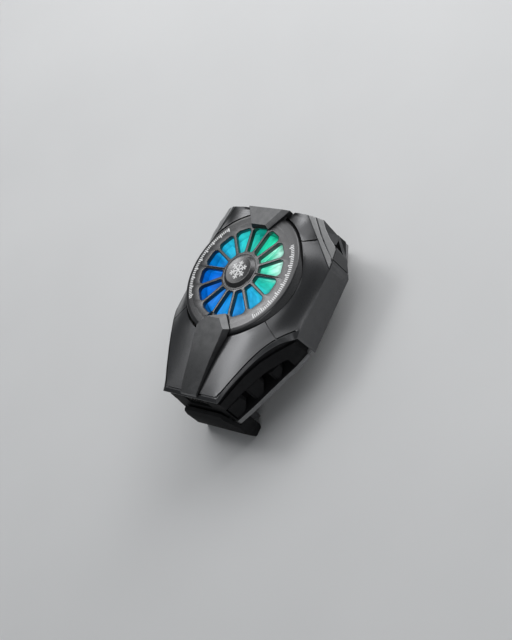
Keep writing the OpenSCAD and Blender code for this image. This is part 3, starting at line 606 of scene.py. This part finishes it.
def build_shell():
    st = stations()
    f, P = shell_surface(st)
    N = normals(P)
    fi = np.degrees(np.arctan2(st[:, 1], st[:, 0]))
    L = np.linalg.norm(P[:, -1, :] - P[:, 0, :], axis=1)
    t = np.gradient(st[:, :2], axis=0)
    t /= np.maximum(np.linalg.norm(t, axis=1, keepdims=True), 1e-12)
    out = np.stack([t[:, 1], -t[:, 0]], 1)
    rad = np.stack([np.cos(np.radians(fi)), np.sin(np.radians(fi))], 1)
    lean = np.clip((out * rad).sum(1), 0.35, 1)
    fg = 1 - 0.34 / (L * lean)
    u = np.arange(len(st), dtype=float)
    # a groove near each panel line: the station's number, found by angle
    lines = [float(np.interp(-39.0, fi, u)), float(np.interp(38.3, fi, u))]
    us = list(u)
    marks = {}
    for i, l in enumerate(lines):
        step = np.linalg.norm(st[int(l) + 1, :2] - st[int(l), :2])
        us = [x for x in us if abs(x - l) > 0.45 / step]
        for d, deep in ((-0.24, 0), (-0.18, 1), (0.18, 1), (0.24, 0)):
            x = l + d / step
            us.append(x)
            marks[x] = (i, deep)
    us = sorted(us)
    base_f = np.concatenate([[0, .02, .05], np.linspace(.1, .9, 17)])
    secs = []
    wall = 1.4
    for x in us:
        i0 = min(int(x), len(st) - 2)
        a = x - i0
        mix = lambda A: A[i0] * (1 - a) + A[i0 + 1] * a
        p, n, s, g = mix(P), mix(N), mix(st), float(mix(fg))
        o = mix(out)
        o = o / np.linalg.norm(o)
        if x in (us[0], us[-1]) and x == us[-1]:
            o = s[:2] / np.linalg.norm(s[:2])
        q = lambda ff: np.array([np.interp(ff, f, p[:, k]) for k in range(3)])
        qn = lambda ff: np.array([np.interp(ff, f, n[:, k]) for k in range(3)])
        line, deep = marks.get(x, (None, 0))
        on = 1.0 if i0 < TURN else 0.0
        w = 0.3 / (float(mix(L)) * float(mix(lean)))
        fl = [ff * (g - 2 * w) / 0.9 for ff in base_f] + [g - w, g - 0.6 * w, g + 0.6 * w, g + w, 1.0]
        row = []
        for ff in fl:
            v = q(ff)
            if deep and (line == 1 or ff <= g + w):
                v = v - qn(ff) * 0.8
            elif abs(ff - g) < 0.7 * w:
                v = v - qn(ff) * 0.5 * on
            row.append(v)
        lip0 = np.array([p[0][0], p[0][1], p[0][2] - wall])
        edge, sh, bot = s[3:6], s[6:9], s[9:12]
        if x == us[-1]:
            edge = np.array([*(s[:2] + o * .25), s[5]])
            sh = np.array([*(s[:2] + o * .25), s[8]])
            bot = np.array([*(s[:2] + o * .25), s[11]])
        inn = [np.array([bot[0] - o[0] * wall, bot[1] - o[1] * wall, bot[2]]),
               np.array([sh[0] - o[0] * wall, sh[1] - o[1] * wall, max(min(sh[2], s[2] - 1.7), bot[2] + .05)])]
        for ff in (1.0, .7, .4, .15):
            v = q(ff)
            v = v - np.array([*(o * wall * ff), wall])
            inn.append(v)
        secs.append([lip0] + row + [edge, sh, bot] + inn)
    left = [[np.array([-v[0], v[1], v[2]]) for v in s] for s in secs[:0:-1]]
    o = loft("shell", left + secs, False)
    for sx in (-1, 1):
        cut(o, prism("hole", [(17.2, 12.72), (19.75, 12.72), (16.7, 8.0)], "x", sx * 25.5, sx * 31))
        cut(o, prism("hole", [(17.15, 12.3), (17.15, 13.4), (17.75, 13.4), (18.4, 12.3)], "x", sx * 27.3, sx * 31))
    smooth(o, 30)
    bevel(o, 0.14, 2, 34)
    weighted(o)
    return o


shell = build_shell()
done(shell, "housing", M_SHELL, "shell_grey", "front_shell")

# ------------------------------------------------------------------- grille
SLOTS, SPOKE = 14, 1.25


def slot_loop(k):
    t = math.tan(math.pi / SLOTS)
    r0, r1 = 7.75, 17.64
    h0, h1 = r0 * t - SPOKE / 2, r1 * t - SPOKE / 2
    arc = [(r1 * math.cos(a), r1 * math.sin(a)) for a in np.linspace(-math.asin(h1 / r1), math.asin(h1 / r1), 9)]
    pts = [(r0, -h0)] + [arc[0], arc[-1]] + [(r0, h0)]
    lp = rounded(pts, [0.62, 1.5, 1.5, 0.62], 8)
    a = 2 * math.pi * (k + 0.5) / SLOTS
    return [(x * math.cos(a) - y * math.sin(a), x * math.sin(a) + y * math.cos(a)) for x, y in lp]


circle = lambda r, n=256: [(r * math.cos(2 * math.pi * i / n), r * math.sin(2 * math.pi * i / n)) for i in range(n)]
# height of the grille's slightly domed face
def face(r):
    return np.where(r < 20.2, 19.9 + 0.0012 * (20.2 ** 2 - r * r), np.where(r < 21.85, 19.9 - 0.06 * (r - 20.2), 19.801 - 0.30 * (r - 21.85)))


spokes = plate("spokes", [circle(20.4)] + [slot_loop(k)[::-1] for k in range(SLOTS)], 18.1, 19.9, 0.34, 4)
for v in spokes.data.vertices:
    v.co.z += (float(face(math.hypot(v.co.x, v.co.y) * 1000)) - 19.9) * MM
smooth(spokes, 35)
band = revolve("band", [
    (19.6, 19.2), (19.6, 19.925), (20.0, 19.909), (20.2, 19.897), (20.4, 19.886), (21.7, 19.808), (21.85, 19.792), (22.0, 19.752), (22.7, 19.546), (22.86, 19.49), (23.0, 19.40), (23.12, 19.26), (23.22, 19.05),
    (23.38, 18.6), (24.04, 17.0), (24.04, 15.6), (23.83, 15.4), (23.83, 12.3), (22.7, 12.3), (22.7, 18.4), (22.2, 18.9)], 256)
smooth(band, 22)
grille = join("grille", [spokes, band])
done(grille, "housing", M_RING, "grille_grey", "fan_grille")
hub = revolve("hub", [(r, z + 0.86) for r, z in (
    (0.0001, 19.3), (7.05, 19.3), (7.05, 19.5), (6.95, 19.58), (6.62, 19.58), (6.5, 19.48), (6.36, 19.48), (6.32, 19.58), (6.26, 19.66),
    (6.15, 19.74), (5.25, 20.46), (5.16, 20.52), (5.05, 20.55), (4.9, 20.53), (4.8, 20.5), (0.0001, 20.44))], 192)
smooth(hub, 24)
done(hub, "housing", M_RING, "grille_grey", "hub_cap")


def bars(name, items, z0, z1):
    """Thin printed marks: each item is a closed outline in (x, y)."""
    vs, fs = [], []
    for lp in items:
        n, b = len(lp), len(vs)
        vs += [(x, y, z0) for x, y in lp] + [(x, y, z1) for x, y in lp]
        fs += [tuple(range(b, b + n)), tuple(range(b + 2 * n - 1, b + n - 1, -1))]
        fs += [(b + i, b + (i + 1) % n, b + n + (i + 1) % n, b + n + i) for i in range(n)]
    return make(name, vs, fs)


def tick(a, r0, r1, w):
    c, s = math.cos(a), math.sin(a)
    return [(r * c - t * s, r * s + t * c) for r, t in ((r0, -w), (r1, -w), (r1, w), (r0, w))]


marks = []
for lo, hi in ((-46, 36), (134, 216)):
    n = int((hi - lo) / 2)
    for k in range(n + 1):
        a = math.radians(lo + (hi - lo) * k / n)
        long = k % 5 == 0
        marks.append(tick(a, 19.8 if long else 20.35, 21.55, 0.24 if long else 0.18))
ticks = bars("ring_ticks", marks, 19.7, 19.9)
for v in ticks.data.vertices:
    r = math.hypot(v.co.x, v.co.y) * 1000
    v.co.z = (float(face(r)) + (0.025 if v.co.z > 0.0198 else -0.05)) * MM
done(ticks, "housing", M_WHITE, "trim_light")
flake = []
for k in range(6):
    a = math.radians(60 * k + 30)
    rot = lambda p: (p[0] * math.cos(a) - p[1] * math.sin(a), p[0] * math.sin(a) + p[1] * math.cos(a))
    flake.append([rot(p) for p in ((0.45, -.25), (3.35, -.25), (3.55, 0), (3.35, .25), (0.45, .25))])
    for r, l in ((1.45, 0.85), (2.35, 0.95)):
        for s in (-1, 1):
            d = math.radians(52 * s)
            c, n = np.array([math.cos(d), math.sin(d)]), np.array([-math.sin(d), math.cos(d)])
            b = np.array([r, s * 0.16])
            pts = [b - n * .2, b + c * l - n * .2, b + c * l + n * .2, b + n * .2]
            flake.append([rot(tuple(p)) for p in pts])
flake.append(circle(0.62, 6))
mark = bars("hub_mark", flake, 21.26, 21.36)
done(mark, "housing", M_WHITE, "trim_light")

# ------------------------------------------------------------ rib and wedge
# right half of each section along the rib: ridge, foot, underside
RIB = [
    [(3.75, -45.1, 17.55), (3.98, -45.5, 16.85), (4.1, -45.6, 15.5)],
    [(4.42, -37.95, 19.05), (4.8, -37.25, 17.8), (4.95, -37.1, 16.5)],
    [(4.95, -32.0, 20.15), (5.5, -30.65, 18.4), (5.65, -30.5, 17.2)],
    [(5.74, -26.0, 21.2), (6.3, -25.3, 18.7), (6.45, -25.1, 17.5)],
    [(6.1, -22.1, 21.85), (7.3, -21.05, 20.2), (7.3, -21.05, 17.5)],
    [(2.95, -18.75, 22.4), (3.48, -16.15, 21.0), (3.48, -16.15, 17.5)]]


def tail_top(y):
    f = (math.hypot(5.0, y) - LIP) / (45.2 - LIP)
    return 18.8 - 2.0 * (0.5 * f + 0.5 * f * abs(f))


def face_tool(gap):
    return revolve("t1", [(0.0001, 5), (24.2, 5), (24.2, 19.1 + gap), (23.05, 19.43 + gap), (21.85, 19.8 + gap), (20.2, 19.9 + gap), (14, 20.15 + gap), (0.0001, 20.39 + gap)], 192)


def rib_solid(name, gap):
    o = loft(name, [s + mirror_x(s)[::-1] for s in RIB], False)
    cut(o, face_tool(gap))
    ys = np.linspace(-23, -50, 28)
    return cut(o, prism("t2", [(y, tail_top(y) + gap) for y in ys] + [(-50, 8), (-23, 8)], "x", -20, 20))


rib = rib_solid("rib_top", 0.28)
bevel(rib, 0.2, 3, 18)
apply(rib)
# the rib stands on a narrower foot, which leaves a shadow gap round it
foot = rib_solid("rib_foot", 0.0)
cut(foot, prism("t5", [(-60, 15.9), (-45, 17.3), (-24, 19.6), (-20, 20.6), (0, 20.8), (0, 60), (-60, 60)], "x", -20, 20))
for v in foot.data.vertices:
    v.co.x *= 0.92
rib = join("rib", [rib, foot])
smooth(rib, 20)
weighted(rib)
done(rib, "housing", M_RIB, "rib_grey", "nose_rib")
WP = [(7.6, 23.95, 22.3), (3.23, 17.45, 22.13), (9.6, 24.65, 20.6), (3.72, 16.72, 20.55), (9.6, 24.65, 18.5), (3.72, 16.72, 18.5)]
wedge = hull("wedge", WP + mirror_x(WP))
cut(wedge, prism("b1", [(-8.4, 17), (8.4, 17), (8.4, 19.5), (-8.4, 19.5)], "y", 21, HEAD - .15), "UNION")
cut(wedge, prism("b2", [(-9.93, HEAD), (9.93, HEAD), (8.43, 21), (-8.43, 21)], "z", 8, 17.9), "UNION")
cut(wedge, face_tool(0.06))
bevel(wedge, 0.16, 3, 18)
smooth(wedge, 20)
weighted(wedge)
done(wedge, "housing", M_RIB, "rib_grey", "head_wedge")

# ------------------------------------------------------------- corner trims
K1, HC, BO = (np.array(v) for v in ((29.1, 9.7, 11.6), (17.6, 24.48, 19.3), (22.1, 24.65, 16.65)))
tn = np.cross(BO - K1, HC - K1)
tn /= np.linalg.norm(tn)
tp = lambda x, y: np.array([x, y, K1[2] - (tn[0] * (x - K1[0]) + tn[1] * (y - K1[1])) / tn[2]])
BARS = [
    [(28.83, 9.7), (24.75, 14.95), (21.4, 19.15), (17.4, 24.3), (19.55, 24.35), (21.45, 21.55), (22.8, 19.5), (24.9, 16.85), (28.15, 13.35), (28.85, 11.9)],
    [(28.75, 12.7), (25.3, 16.85), (23.2, 19.6), (21.85, 21.65), (20.05, 24.4), (21.95, 24.45), (23.65, 21.85), (25.7, 19.45), (28.1, 17.35), (28.6, 16.4)]]
for side in ("right", "left"):
    obs = []
    for plan in BARS:
        q = [tp(x, y) for x, y in plan]
        n = len(q)
        pts = [p - tn * 0.25 for p in q] + [p + tn * 0.5 for p in q]
        if side == "left":
            pts = [np.array([-p[0], p[1], p[2]]) for p in pts]
        fs = [tuple(range(n)), tuple(range(2 * n - 1, n - 1, -1))] + [(i, (i + 1) % n, n + (i + 1) % n, n + i) for i in range(n)]
        obs.append(make("bar", pts, fs))
    o = join("trim_" + side, obs)
    bevel(o, 0.14, 3, 30)
    smooth(o, 30)
    weighted(o)
    done(o, "housing", M_TRIM, "trim_light", "corner_trim_" + side)

# ------------------------------------------------------------- rear housing
RH = [
    [0, -46, 0, -45.2, 13.5], [12, -46, 11.9, -45.2, 13.5], [15.45, -39.95, 14.3, -39.9, 13.9], [18.85, -33.85, 17.1, -34, 14.1],
    [22.25, -27.85, 20, -28.1, 13.3], [25.1, -23.1, 22.5, -23.4, 11.7], [27.7, -17.7, 26.4, -17.9, 9.8], [27.2, -17.1, 27.2, -17.1, 9.8],
    [27.2, 12.6, 27.2, 12.6, 10], [26.6, 16, 26.6, 16, 10], [25.6, 18.6, 25.4, 18.4, 8],
    [22.4, 24.3, 22.2, 24.2, 7.6], [0, 24.3, 0, 24.2, 7.6]]
line = RH + [[-a, b, -c, d, e] for a, b, c, d, e in RH[-2:0:-1]]


def inset(l, k):
    p = np.array([[r[k], r[k + 1]] for r in l], float)
    u = p - np.roll(p, 1, 0)
    v = np.roll(p, -1, 0) - p
    u /= np.linalg.norm(u, axis=1, keepdims=True)
    v /= np.linalg.norm(v, axis=1, keepdims=True)
    m = np.stack([u[:, 1] + v[:, 1], -u[:, 0] - v[:, 0]], 1)
    m /= np.linalg.norm(m, axis=1, keepdims=True)
    return m / np.maximum(0.55, m[:, 0:1] * v[:, 1:2] - m[:, 1:2] * v[:, 0:1])


ib, it = inset(line, 0), inset(line, 2)
secs = []
for r, b, t in zip(line, ib, it):
    secs.append([(r[2], r[3], r[4]), (r[0], r[1], 3.0), (r[0] - 1.5 * b[0], r[1] - 1.5 * b[1], 3.0), (r[2] - 1.5 * t[0], r[3] - 1.5 * t[1], r[4])])
rear = loft("rear", secs, True)
tongue = []
for r, t in zip(line, it):
    a = [(r[2] - d * t[0], r[3] - d * t[1], r[4] + h) for d, h in ((0.95, -1.0), (0.95, 1.7 if r[1] < -16 else 1.15), (2.1, 1.7 if r[1] < -16 else 1.15), (2.1, -1.0))]
    tongue.append(a)
tongue = loft("tongue", tongue, True)
cut(tongue, prism("port", [(-5.2, 9.4), (5.2, 9.4), (5.2, 18), (-5.2, 18)], "y", -50, -40))
vd = np.array([15.7, 28.3]) / np.linalg.norm([15.7, 28.3])
vn = np.array([vd[1], -vd[0]])


def vent_pt(s, d, z, sx=1):
    """A point along the vent wall: s from the tail corner, d outwards, z up."""
    p = np.array([12.0, -46.0]) + vd * s + vn * d
    return (sx * p[0], p[1], z)


for sx in (-1, 1):
    win = [(0.3, 2.9), (26.6, 2.9), (26.6, 6.3), (25.8, 7.0), (23.1, 7.9), (19.5, 8.95), (15.8, 9.6), (10.4, 10.05), (6, 10.2), (0.3, 10.0)]
    n = len(win)
    vs = [vent_pt(s, -7, z, sx) for s, z in win] + [vent_pt(s, 6, z, sx) for s, z in win]
    fs = [tuple(range(n)), tuple(range(2 * n - 1, n - 1, -1))] + [(i, (i + 1) % n, n + (i + 1) % n, n + i) for i in range(n)]
    cut(rear, make("win", vs, fs))
    cut(rear, prism("arm", [(sx * 7.3, 2), (sx * 10.7, 2), (sx * 10.7, 5.3), (sx * 7.3, 5.3)], "y", -50, -40))
    cut(rear, prism("arm", [(sx * 11.5, 2), (sx * 14.7, 2), (sx * 14.7, 5.3), (sx * 11.5, 5.3)], "y", 20, 28))
cut(rear, prism("port", rounded([(-5.2, 9.4), (5.2, 9.4), (5.2, 18), (-5.2, 18)], [0.8, 0.8, 0, 0], 5), "y", -50, -43))
# posts of the vent: where each starts, and how far it reaches at each height
POSTS = [
    (0.75, ((2.4, 3.0, 0), (4.2, 5.4, 0), (5.84, 6.5, 0), (8.6, 6.1, 0), (9.1, 6.0, 1), (11.2, 5.9, 1))),
    (10.2, ((2.4, 11.6, 0), (3.1, 12.6, 0), (5.6, 14.9, 0), (8.5, 15.1, 0), (8.9, 15.1, 1), (10.8, 15.1, 1))),
    (19.5, ((2.4, 20.3, 0), (3.3, 21.1, 0), (4.7, 22.8, 0), (6.6, 23.0, 0), (7.0, 23.0, 1), (9.6, 23.1, 1)))]
posts = []
for sx in (-1, 1):
    for s0, reach in POSTS:
        secs = []
        for z, s1, back in reach:
            lean = -0.115 * (1 + 0.9 * min(1, s0 / 12)) * (z - 3) - 1.1 * back
            plan = [(s0 - .95, -4.4), (s0 - .95, -1.45), (s0 - .08, -1.2), (s0, -.75), (s1, -.75), (s1 + .3, -.9), (s1 + 1.1, -2.3), (s1 + 1.1, -4.4)]
            if s0 < 5:
                plan = [(max(a, 0.4), b) for a, b in plan]
                plan[1] = (0.45, -1.45)
            secs.append([vent_pt(a, b + lean, z, sx) for a, b in plan])
        posts.append(loft("post", secs, False))
rear = join("rear_case", [rear, tongue] + posts)
bevel(rear, 0.22, 2, 26)
smooth(rear, 28)
weighted(rear)
done(rear, "housing", M_FRAME, "frame_dark", "rear_housing")

# --------------------------------------------------------------- base plate
BH = [(12.2, -46.1), (16, -40.2), (19.4, -34.1), (22.8, -28.1), (25.7, -23.3), (28.2, -17.6), (27.4, -17), (27.4, 12.4),
      (26.4, 15.6), (25.4, 18), (22.4, 24.3)]
rim = rounded(BH + mirror_x(BH)[::-1], [1.2, 0, 0, 0, 0.6, .3, .2, .4, .8, .8, 1.2] + [1.2, .8, .8, .4, .2, .3, 0.6, 0, 0, 0, 1.2], 5)
ri = inset([[x, y] for x, y in rim], 0)
base = loft("base", [[(x - d * n[0], y - d * n[1], z) for (x, y), n in zip(rim, ri)] for d, z in ((0.25, 1.0), (0.02, 1.2), (0.02, 2.6), (0.2, 2.88), (0.4, 3.0))], False)
cut(base, prism("w", rounded([(-14.7, -14.7), (14.7, -14.7), (14.7, 14.7), (-14.7, 14.7)], 2.2, 8), "z", -1, 5))
for cx in (-24.6, 24.6):
    for cy in (-13, 9):
        cut(base, revolve_at("h", [(0.0001, 0), (2.2, 0), (2.0, 1.25), (2.0, 2.0), (0.0001, 2.0)], cx, cy, 48))
        cut(base, revolve_at("h", [(0.0001, 1), (1.05, 1), (1.05, 5), (0.0001, 5)], cx, cy, 32))
smooth(base, 30)
# moulded ribs on the back of the base, towards the tail
ribs = []
for k in range(5):
    y = -22.5 - 3.4 * k
    h = 17.5 - 2.2 * k
    ribs.append(hull("r", [(sx * (h - e), y + sy * (0.55 - e * .6), z) for sx in (-1, 1) for sy in (-1, 1) for e, z in ((0, 1.05), (0.25, 0.75))]))
base = join("base_cover", [base] + ribs)
done(base, "housing", M_BASE, "base_grey", "base_plate")
# painted light: the outer edge faces of the base take a lighter copy of its grey, standing for the light that falls on
# the rim
base.data.materials.append(M_EDGE)
base.data.materials.append(M_FRAME)
for p in base.data.polygons:
    c = p.center * 1000
    if abs(p.normal.z) < 0.75 and c.z > 1.0 and (abs(c.x) > 15.5 or c.y < -16 or c.y > 16) and not any(
            math.hypot(abs(c.x) - 24.6, c.y - y) < 2.3 for y in (-13, 9)):
        p.material_index = 1
    elif p.normal.z > 0.75 and c.z > 2.9:
        p.material_index = 2
pad = plate("cold_pad", [rounded([(-15, -15), (15, -15), (15, 15), (-15, 15)], 2.5, 8)], 0.0, 0.8, 0.2, 2)
smooth(pad, 35)
done(pad, "housing", M_THERMAL, "silicone_grey", "contact_pad")

# --------------------------------------------------------------------- jaws


def jaw(name, profile, w, top, cut_w, arc, arc_y):
    o = prism(name, profile, "x", -w, w)
    cut(o, prism("f", [(-w, -8.6), (w, -8.6), (w, cut_w), (w - (3.6 if w < 13 else 4), top), (-w + (3.6 if w < 13 else 4), top), (-w, cut_w)], "y", -60, 60), "INTERSECT")
    cut(o, prism("a", [(arc * math.cos(t), arc_y + arc * math.sin(t)) for t in np.linspace(0, 2 * math.pi, 361)[:-1]], "z", -20, 20), "INTERSECT")
    bevel(o, 0.45, 3, 24)
    smooth(o, 26)
    return weighted(o)


tj = jaw("jaw_tail", [(-46.35, 8), (-47.6, 7.6), (-48.3, 5.6), (-48.5, 1.3), (-47.6, -4.6), (-46.4, -8.2), (-45.8, -8.6), (-42.8, -8.6),
                      (-42.1, -7.6), (-42, -6.9), (-42, 0.6), (-46.35, 0.6)], 12, 8, 2, 90, -48.5 + 90)
done(tj, "tail_clamp", M_JAW, "jaw_black", "tail_jaw")
hj = jaw("jaw_head", [(25, 7), (26.4, 6.6), (27.1, 4.6), (27.3, 1.3), (26.6, -4.6), (25.4, -8.2), (24.8, -8.6), (22, -8.6),
                      (21.3, -7.6), (21.2, -6.9), (21.2, 0.6), (25, 0.6)], 15, 7, 1.5, 100, 27.3 - 100)
done(hj, "head_clamp", M_JAW, "jaw_black", "head_jaw")
for nm, body, prof, w in (
    ("grip_tail", "tail_clamp", [(-42, -1.2), (-40.6, -1.2), (-40.6, 0.2), (-39.5, -0.2), (-39.2, -1.6), (-39.2, -5), (-39.5, -6.5), (-40.6, -6.5), (-40.6, -4.6), (-42, -4.6)], 11.6),
    ("grip_head", "head_clamp", [(21.2, -1.2), (19.9, -1.2), (19.9, 0.2), (18.8, -0.2), (18.6, -1.6), (18.6, -5), (18.9, -6.5), (19.9, -6.5), (19.9, -4.6), (21.2, -4.6)], 14.4)):
    o = prism(nm, prof, "x", -w, w)
    bevel(o, 0.22, 3, 24)
    smooth(o, 26)
    weighted(o)
    done(o, body, M_PAD, "silicone_black", "tail_jaw_pad" if nm == "grip_tail" else "head_jaw_pad")

# ---------------------------------------------------------------------- fan


def fan():
    obs = [revolve("cup", [(6.5, 12.7), (7.3, 12.7), (7.3, 16.9), (7.22, 17.1), (7.0, 17.25), (6.6, 17.3), (0.0001, 17.3), (0.0001, 16.5), (6.5, 16.5)], 128)]
    n, blades = 14, 9
    for b in range(blades):
        a0 = 2 * math.pi * b / blades
        top, bot = [], []
        for i in range(n + 1):
            r = 7.25 + (16.7 - 7.25) * i / n
            tr, br = [], []
            for j in range(11):
                t = j / 10
                sweep = math.radians(10) * (i / n) ** 1.5
                a = a0 + sweep + math.radians(58) * (t - 0.5)
                z = 16.55 - 2.9 * t + 0.45 * math.sin(math.pi * t) - 0.2 * (i / n)
                th = 0.32 * (1 - 0.75 * abs(2 * t - 1) ** 2) + 0.06
                tr.append((r * math.cos(a), r * math.sin(a), z + th))
                br.append((r * math.cos(a), r * math.sin(a), z - th))
            top.append(tr)
            bot.append(br)
        secs = [t + u[::-1] for t, u in zip(top, bot)]
        obs.append(loft("blade", secs, False))
    o = join("fan", obs)
    return smooth(o, 40)


done(fan(), "rotor", M_BLADE, "blade_clear", "fan_impeller")
guide = revolve("guide", [(17.3, 12.3), (18.9, 12.3), (18.9, 17.7), (18.7, 17.78), (17.5, 17.78), (17.3, 17.6)], 192)
smooth(guide, 25)
done(guide, "housing", M_GUIDE, "light_guide", "light_ring")

# ------------------------------------------------- CAD parts that stay shown
FINISH = {
    "cold_plate": M_ALU, "insulation_frame": M_FOAM, "peltier_ceramics": M_CERAMIC, "peltier_elements": M_STEEL, "peltier_leads": M_LEAD,
    "heat_sink": M_SINK, "fan_frame": M_FRAME, "led_board": M_PCB, "leds": M_LED, "bearing_sleeve": M_BRONZE, "stator_core": M_STEEL,
    "stator_coils": M_COPPER, "motor_board": M_PCB, "fan_lead": M_LEAD_B, "control_board": M_PCB, "board_components": M_CHIP,
    "board_screws": M_SCREW, "usb_receptacle": M_PLATED, "usb_tongue": M_CHIP, "case_screws": M_SCREW, "rail_guides": M_FRAME,
    "head_springs": M_STEEL, "tail_springs": M_STEEL, "rotor_yoke": M_STEEL, "rotor_magnet": M_FERRITE, "rotor_shaft": M_SCREW,
    "head_slide": M_SINK, "tail_slide": M_SINK}
for n, m in FINISH.items():
    o = NODES[n]
    o.data.materials.clear()
    o.data.materials.append(m)
    if n not in ("head_springs", "tail_springs", "peltier_leads"):
        bevel(o, 0.08, 2, 40)

# ------------------------------------------------------------------- camera
R = Vector((0.7168, 0.4129, -0.5619))
U = Vector((-0.1341, 0.8724, 0.4699))
D = Vector((0.6842, -0.2615, 0.6808))
cam = bpy.data.cameras.new("camera")
cam.sensor_width = 36
cam.lens = 36 * 1550 / 640
cam.clip_start = 0.01
co = link(bpy.data.objects.new("camera", cam))
mw = Matrix((
    (R.x, U.x, D.x, 0.36297), (R.y, U.y, D.y, -0.14844), (R.z, U.z, D.z, 0.36463), (0, 0, 0, 1)))
co.matrix_world = mw
scene.camera = co

# ---------------------------------------------------------- floor and light
fm, nt, b = nodes_of("floor_pale")
fn = noise(nt, 14, 3, 0.5, coords(nt))
nt.links.new(blend_col(nt, remap(nt, fn, 0.3, 0.7, 0, 1), (0.71, 0.715, 0.72), (0.74, 0.745, 0.75)), b.inputs["Base Color"])
b.inputs["Roughness"].default_value = 0.6
fl = make("floor", [(-1500, -1500, -8.62), (1500, -1500, -8.62), (1500, 1500, -8.62), (-1500, 1500, -8.62)], [(0, 1, 2, 3)], False)
fl.data.materials.append(fm)


def area(name, direction, dist, size, power, col=(1, 1, 1), target=(0, -0.01, 0.01)):
    d = Vector(direction).normalized()
    la = bpy.data.lights.new(name, "AREA")
    la.shape = "RECTANGLE"
    la.size, la.size_y = size
    la.energy = power
    la.color = col
    o = link(bpy.data.objects.new(name, la))
    o.location = Vector(target) + d * dist
    o.rotation_euler = d.to_track_quat("Z", "Y").to_euler()
    return o


area("softbox", (-0.30, 0.45, 0.84), 0.8, (0.85, 0.85), 3.0)
area("key", (-0.55, 0.15, 0.82), 0.8, (0.22, 0.22), 0.85)
area("back_key", (0.24, 0.83, 0.50), 0.6, (0.50, 0.32), 1.4)
area("left_rim", (-0.70, 0.70, 0.10), 0.6, (0.30, 0.30), 0.50)
area("back_strip", (0.0, 0.99, 0.14), 0.6, (0.50, 0.12), 0.35)
area("front_fill", (0.61, -0.64, 0.47), 0.7, (0.30, 0.30), 0.45)
world = bpy.data.worlds.new("world")
scene.world = world
world.use_nodes = True
world.node_tree.nodes["Background"].inputs[0].default_value = (0.8, 0.85, 0.9, 1)
world.node_tree.nodes["Background"].inputs[1].default_value = 0.13
scene.view_settings.view_transform = "Standard"
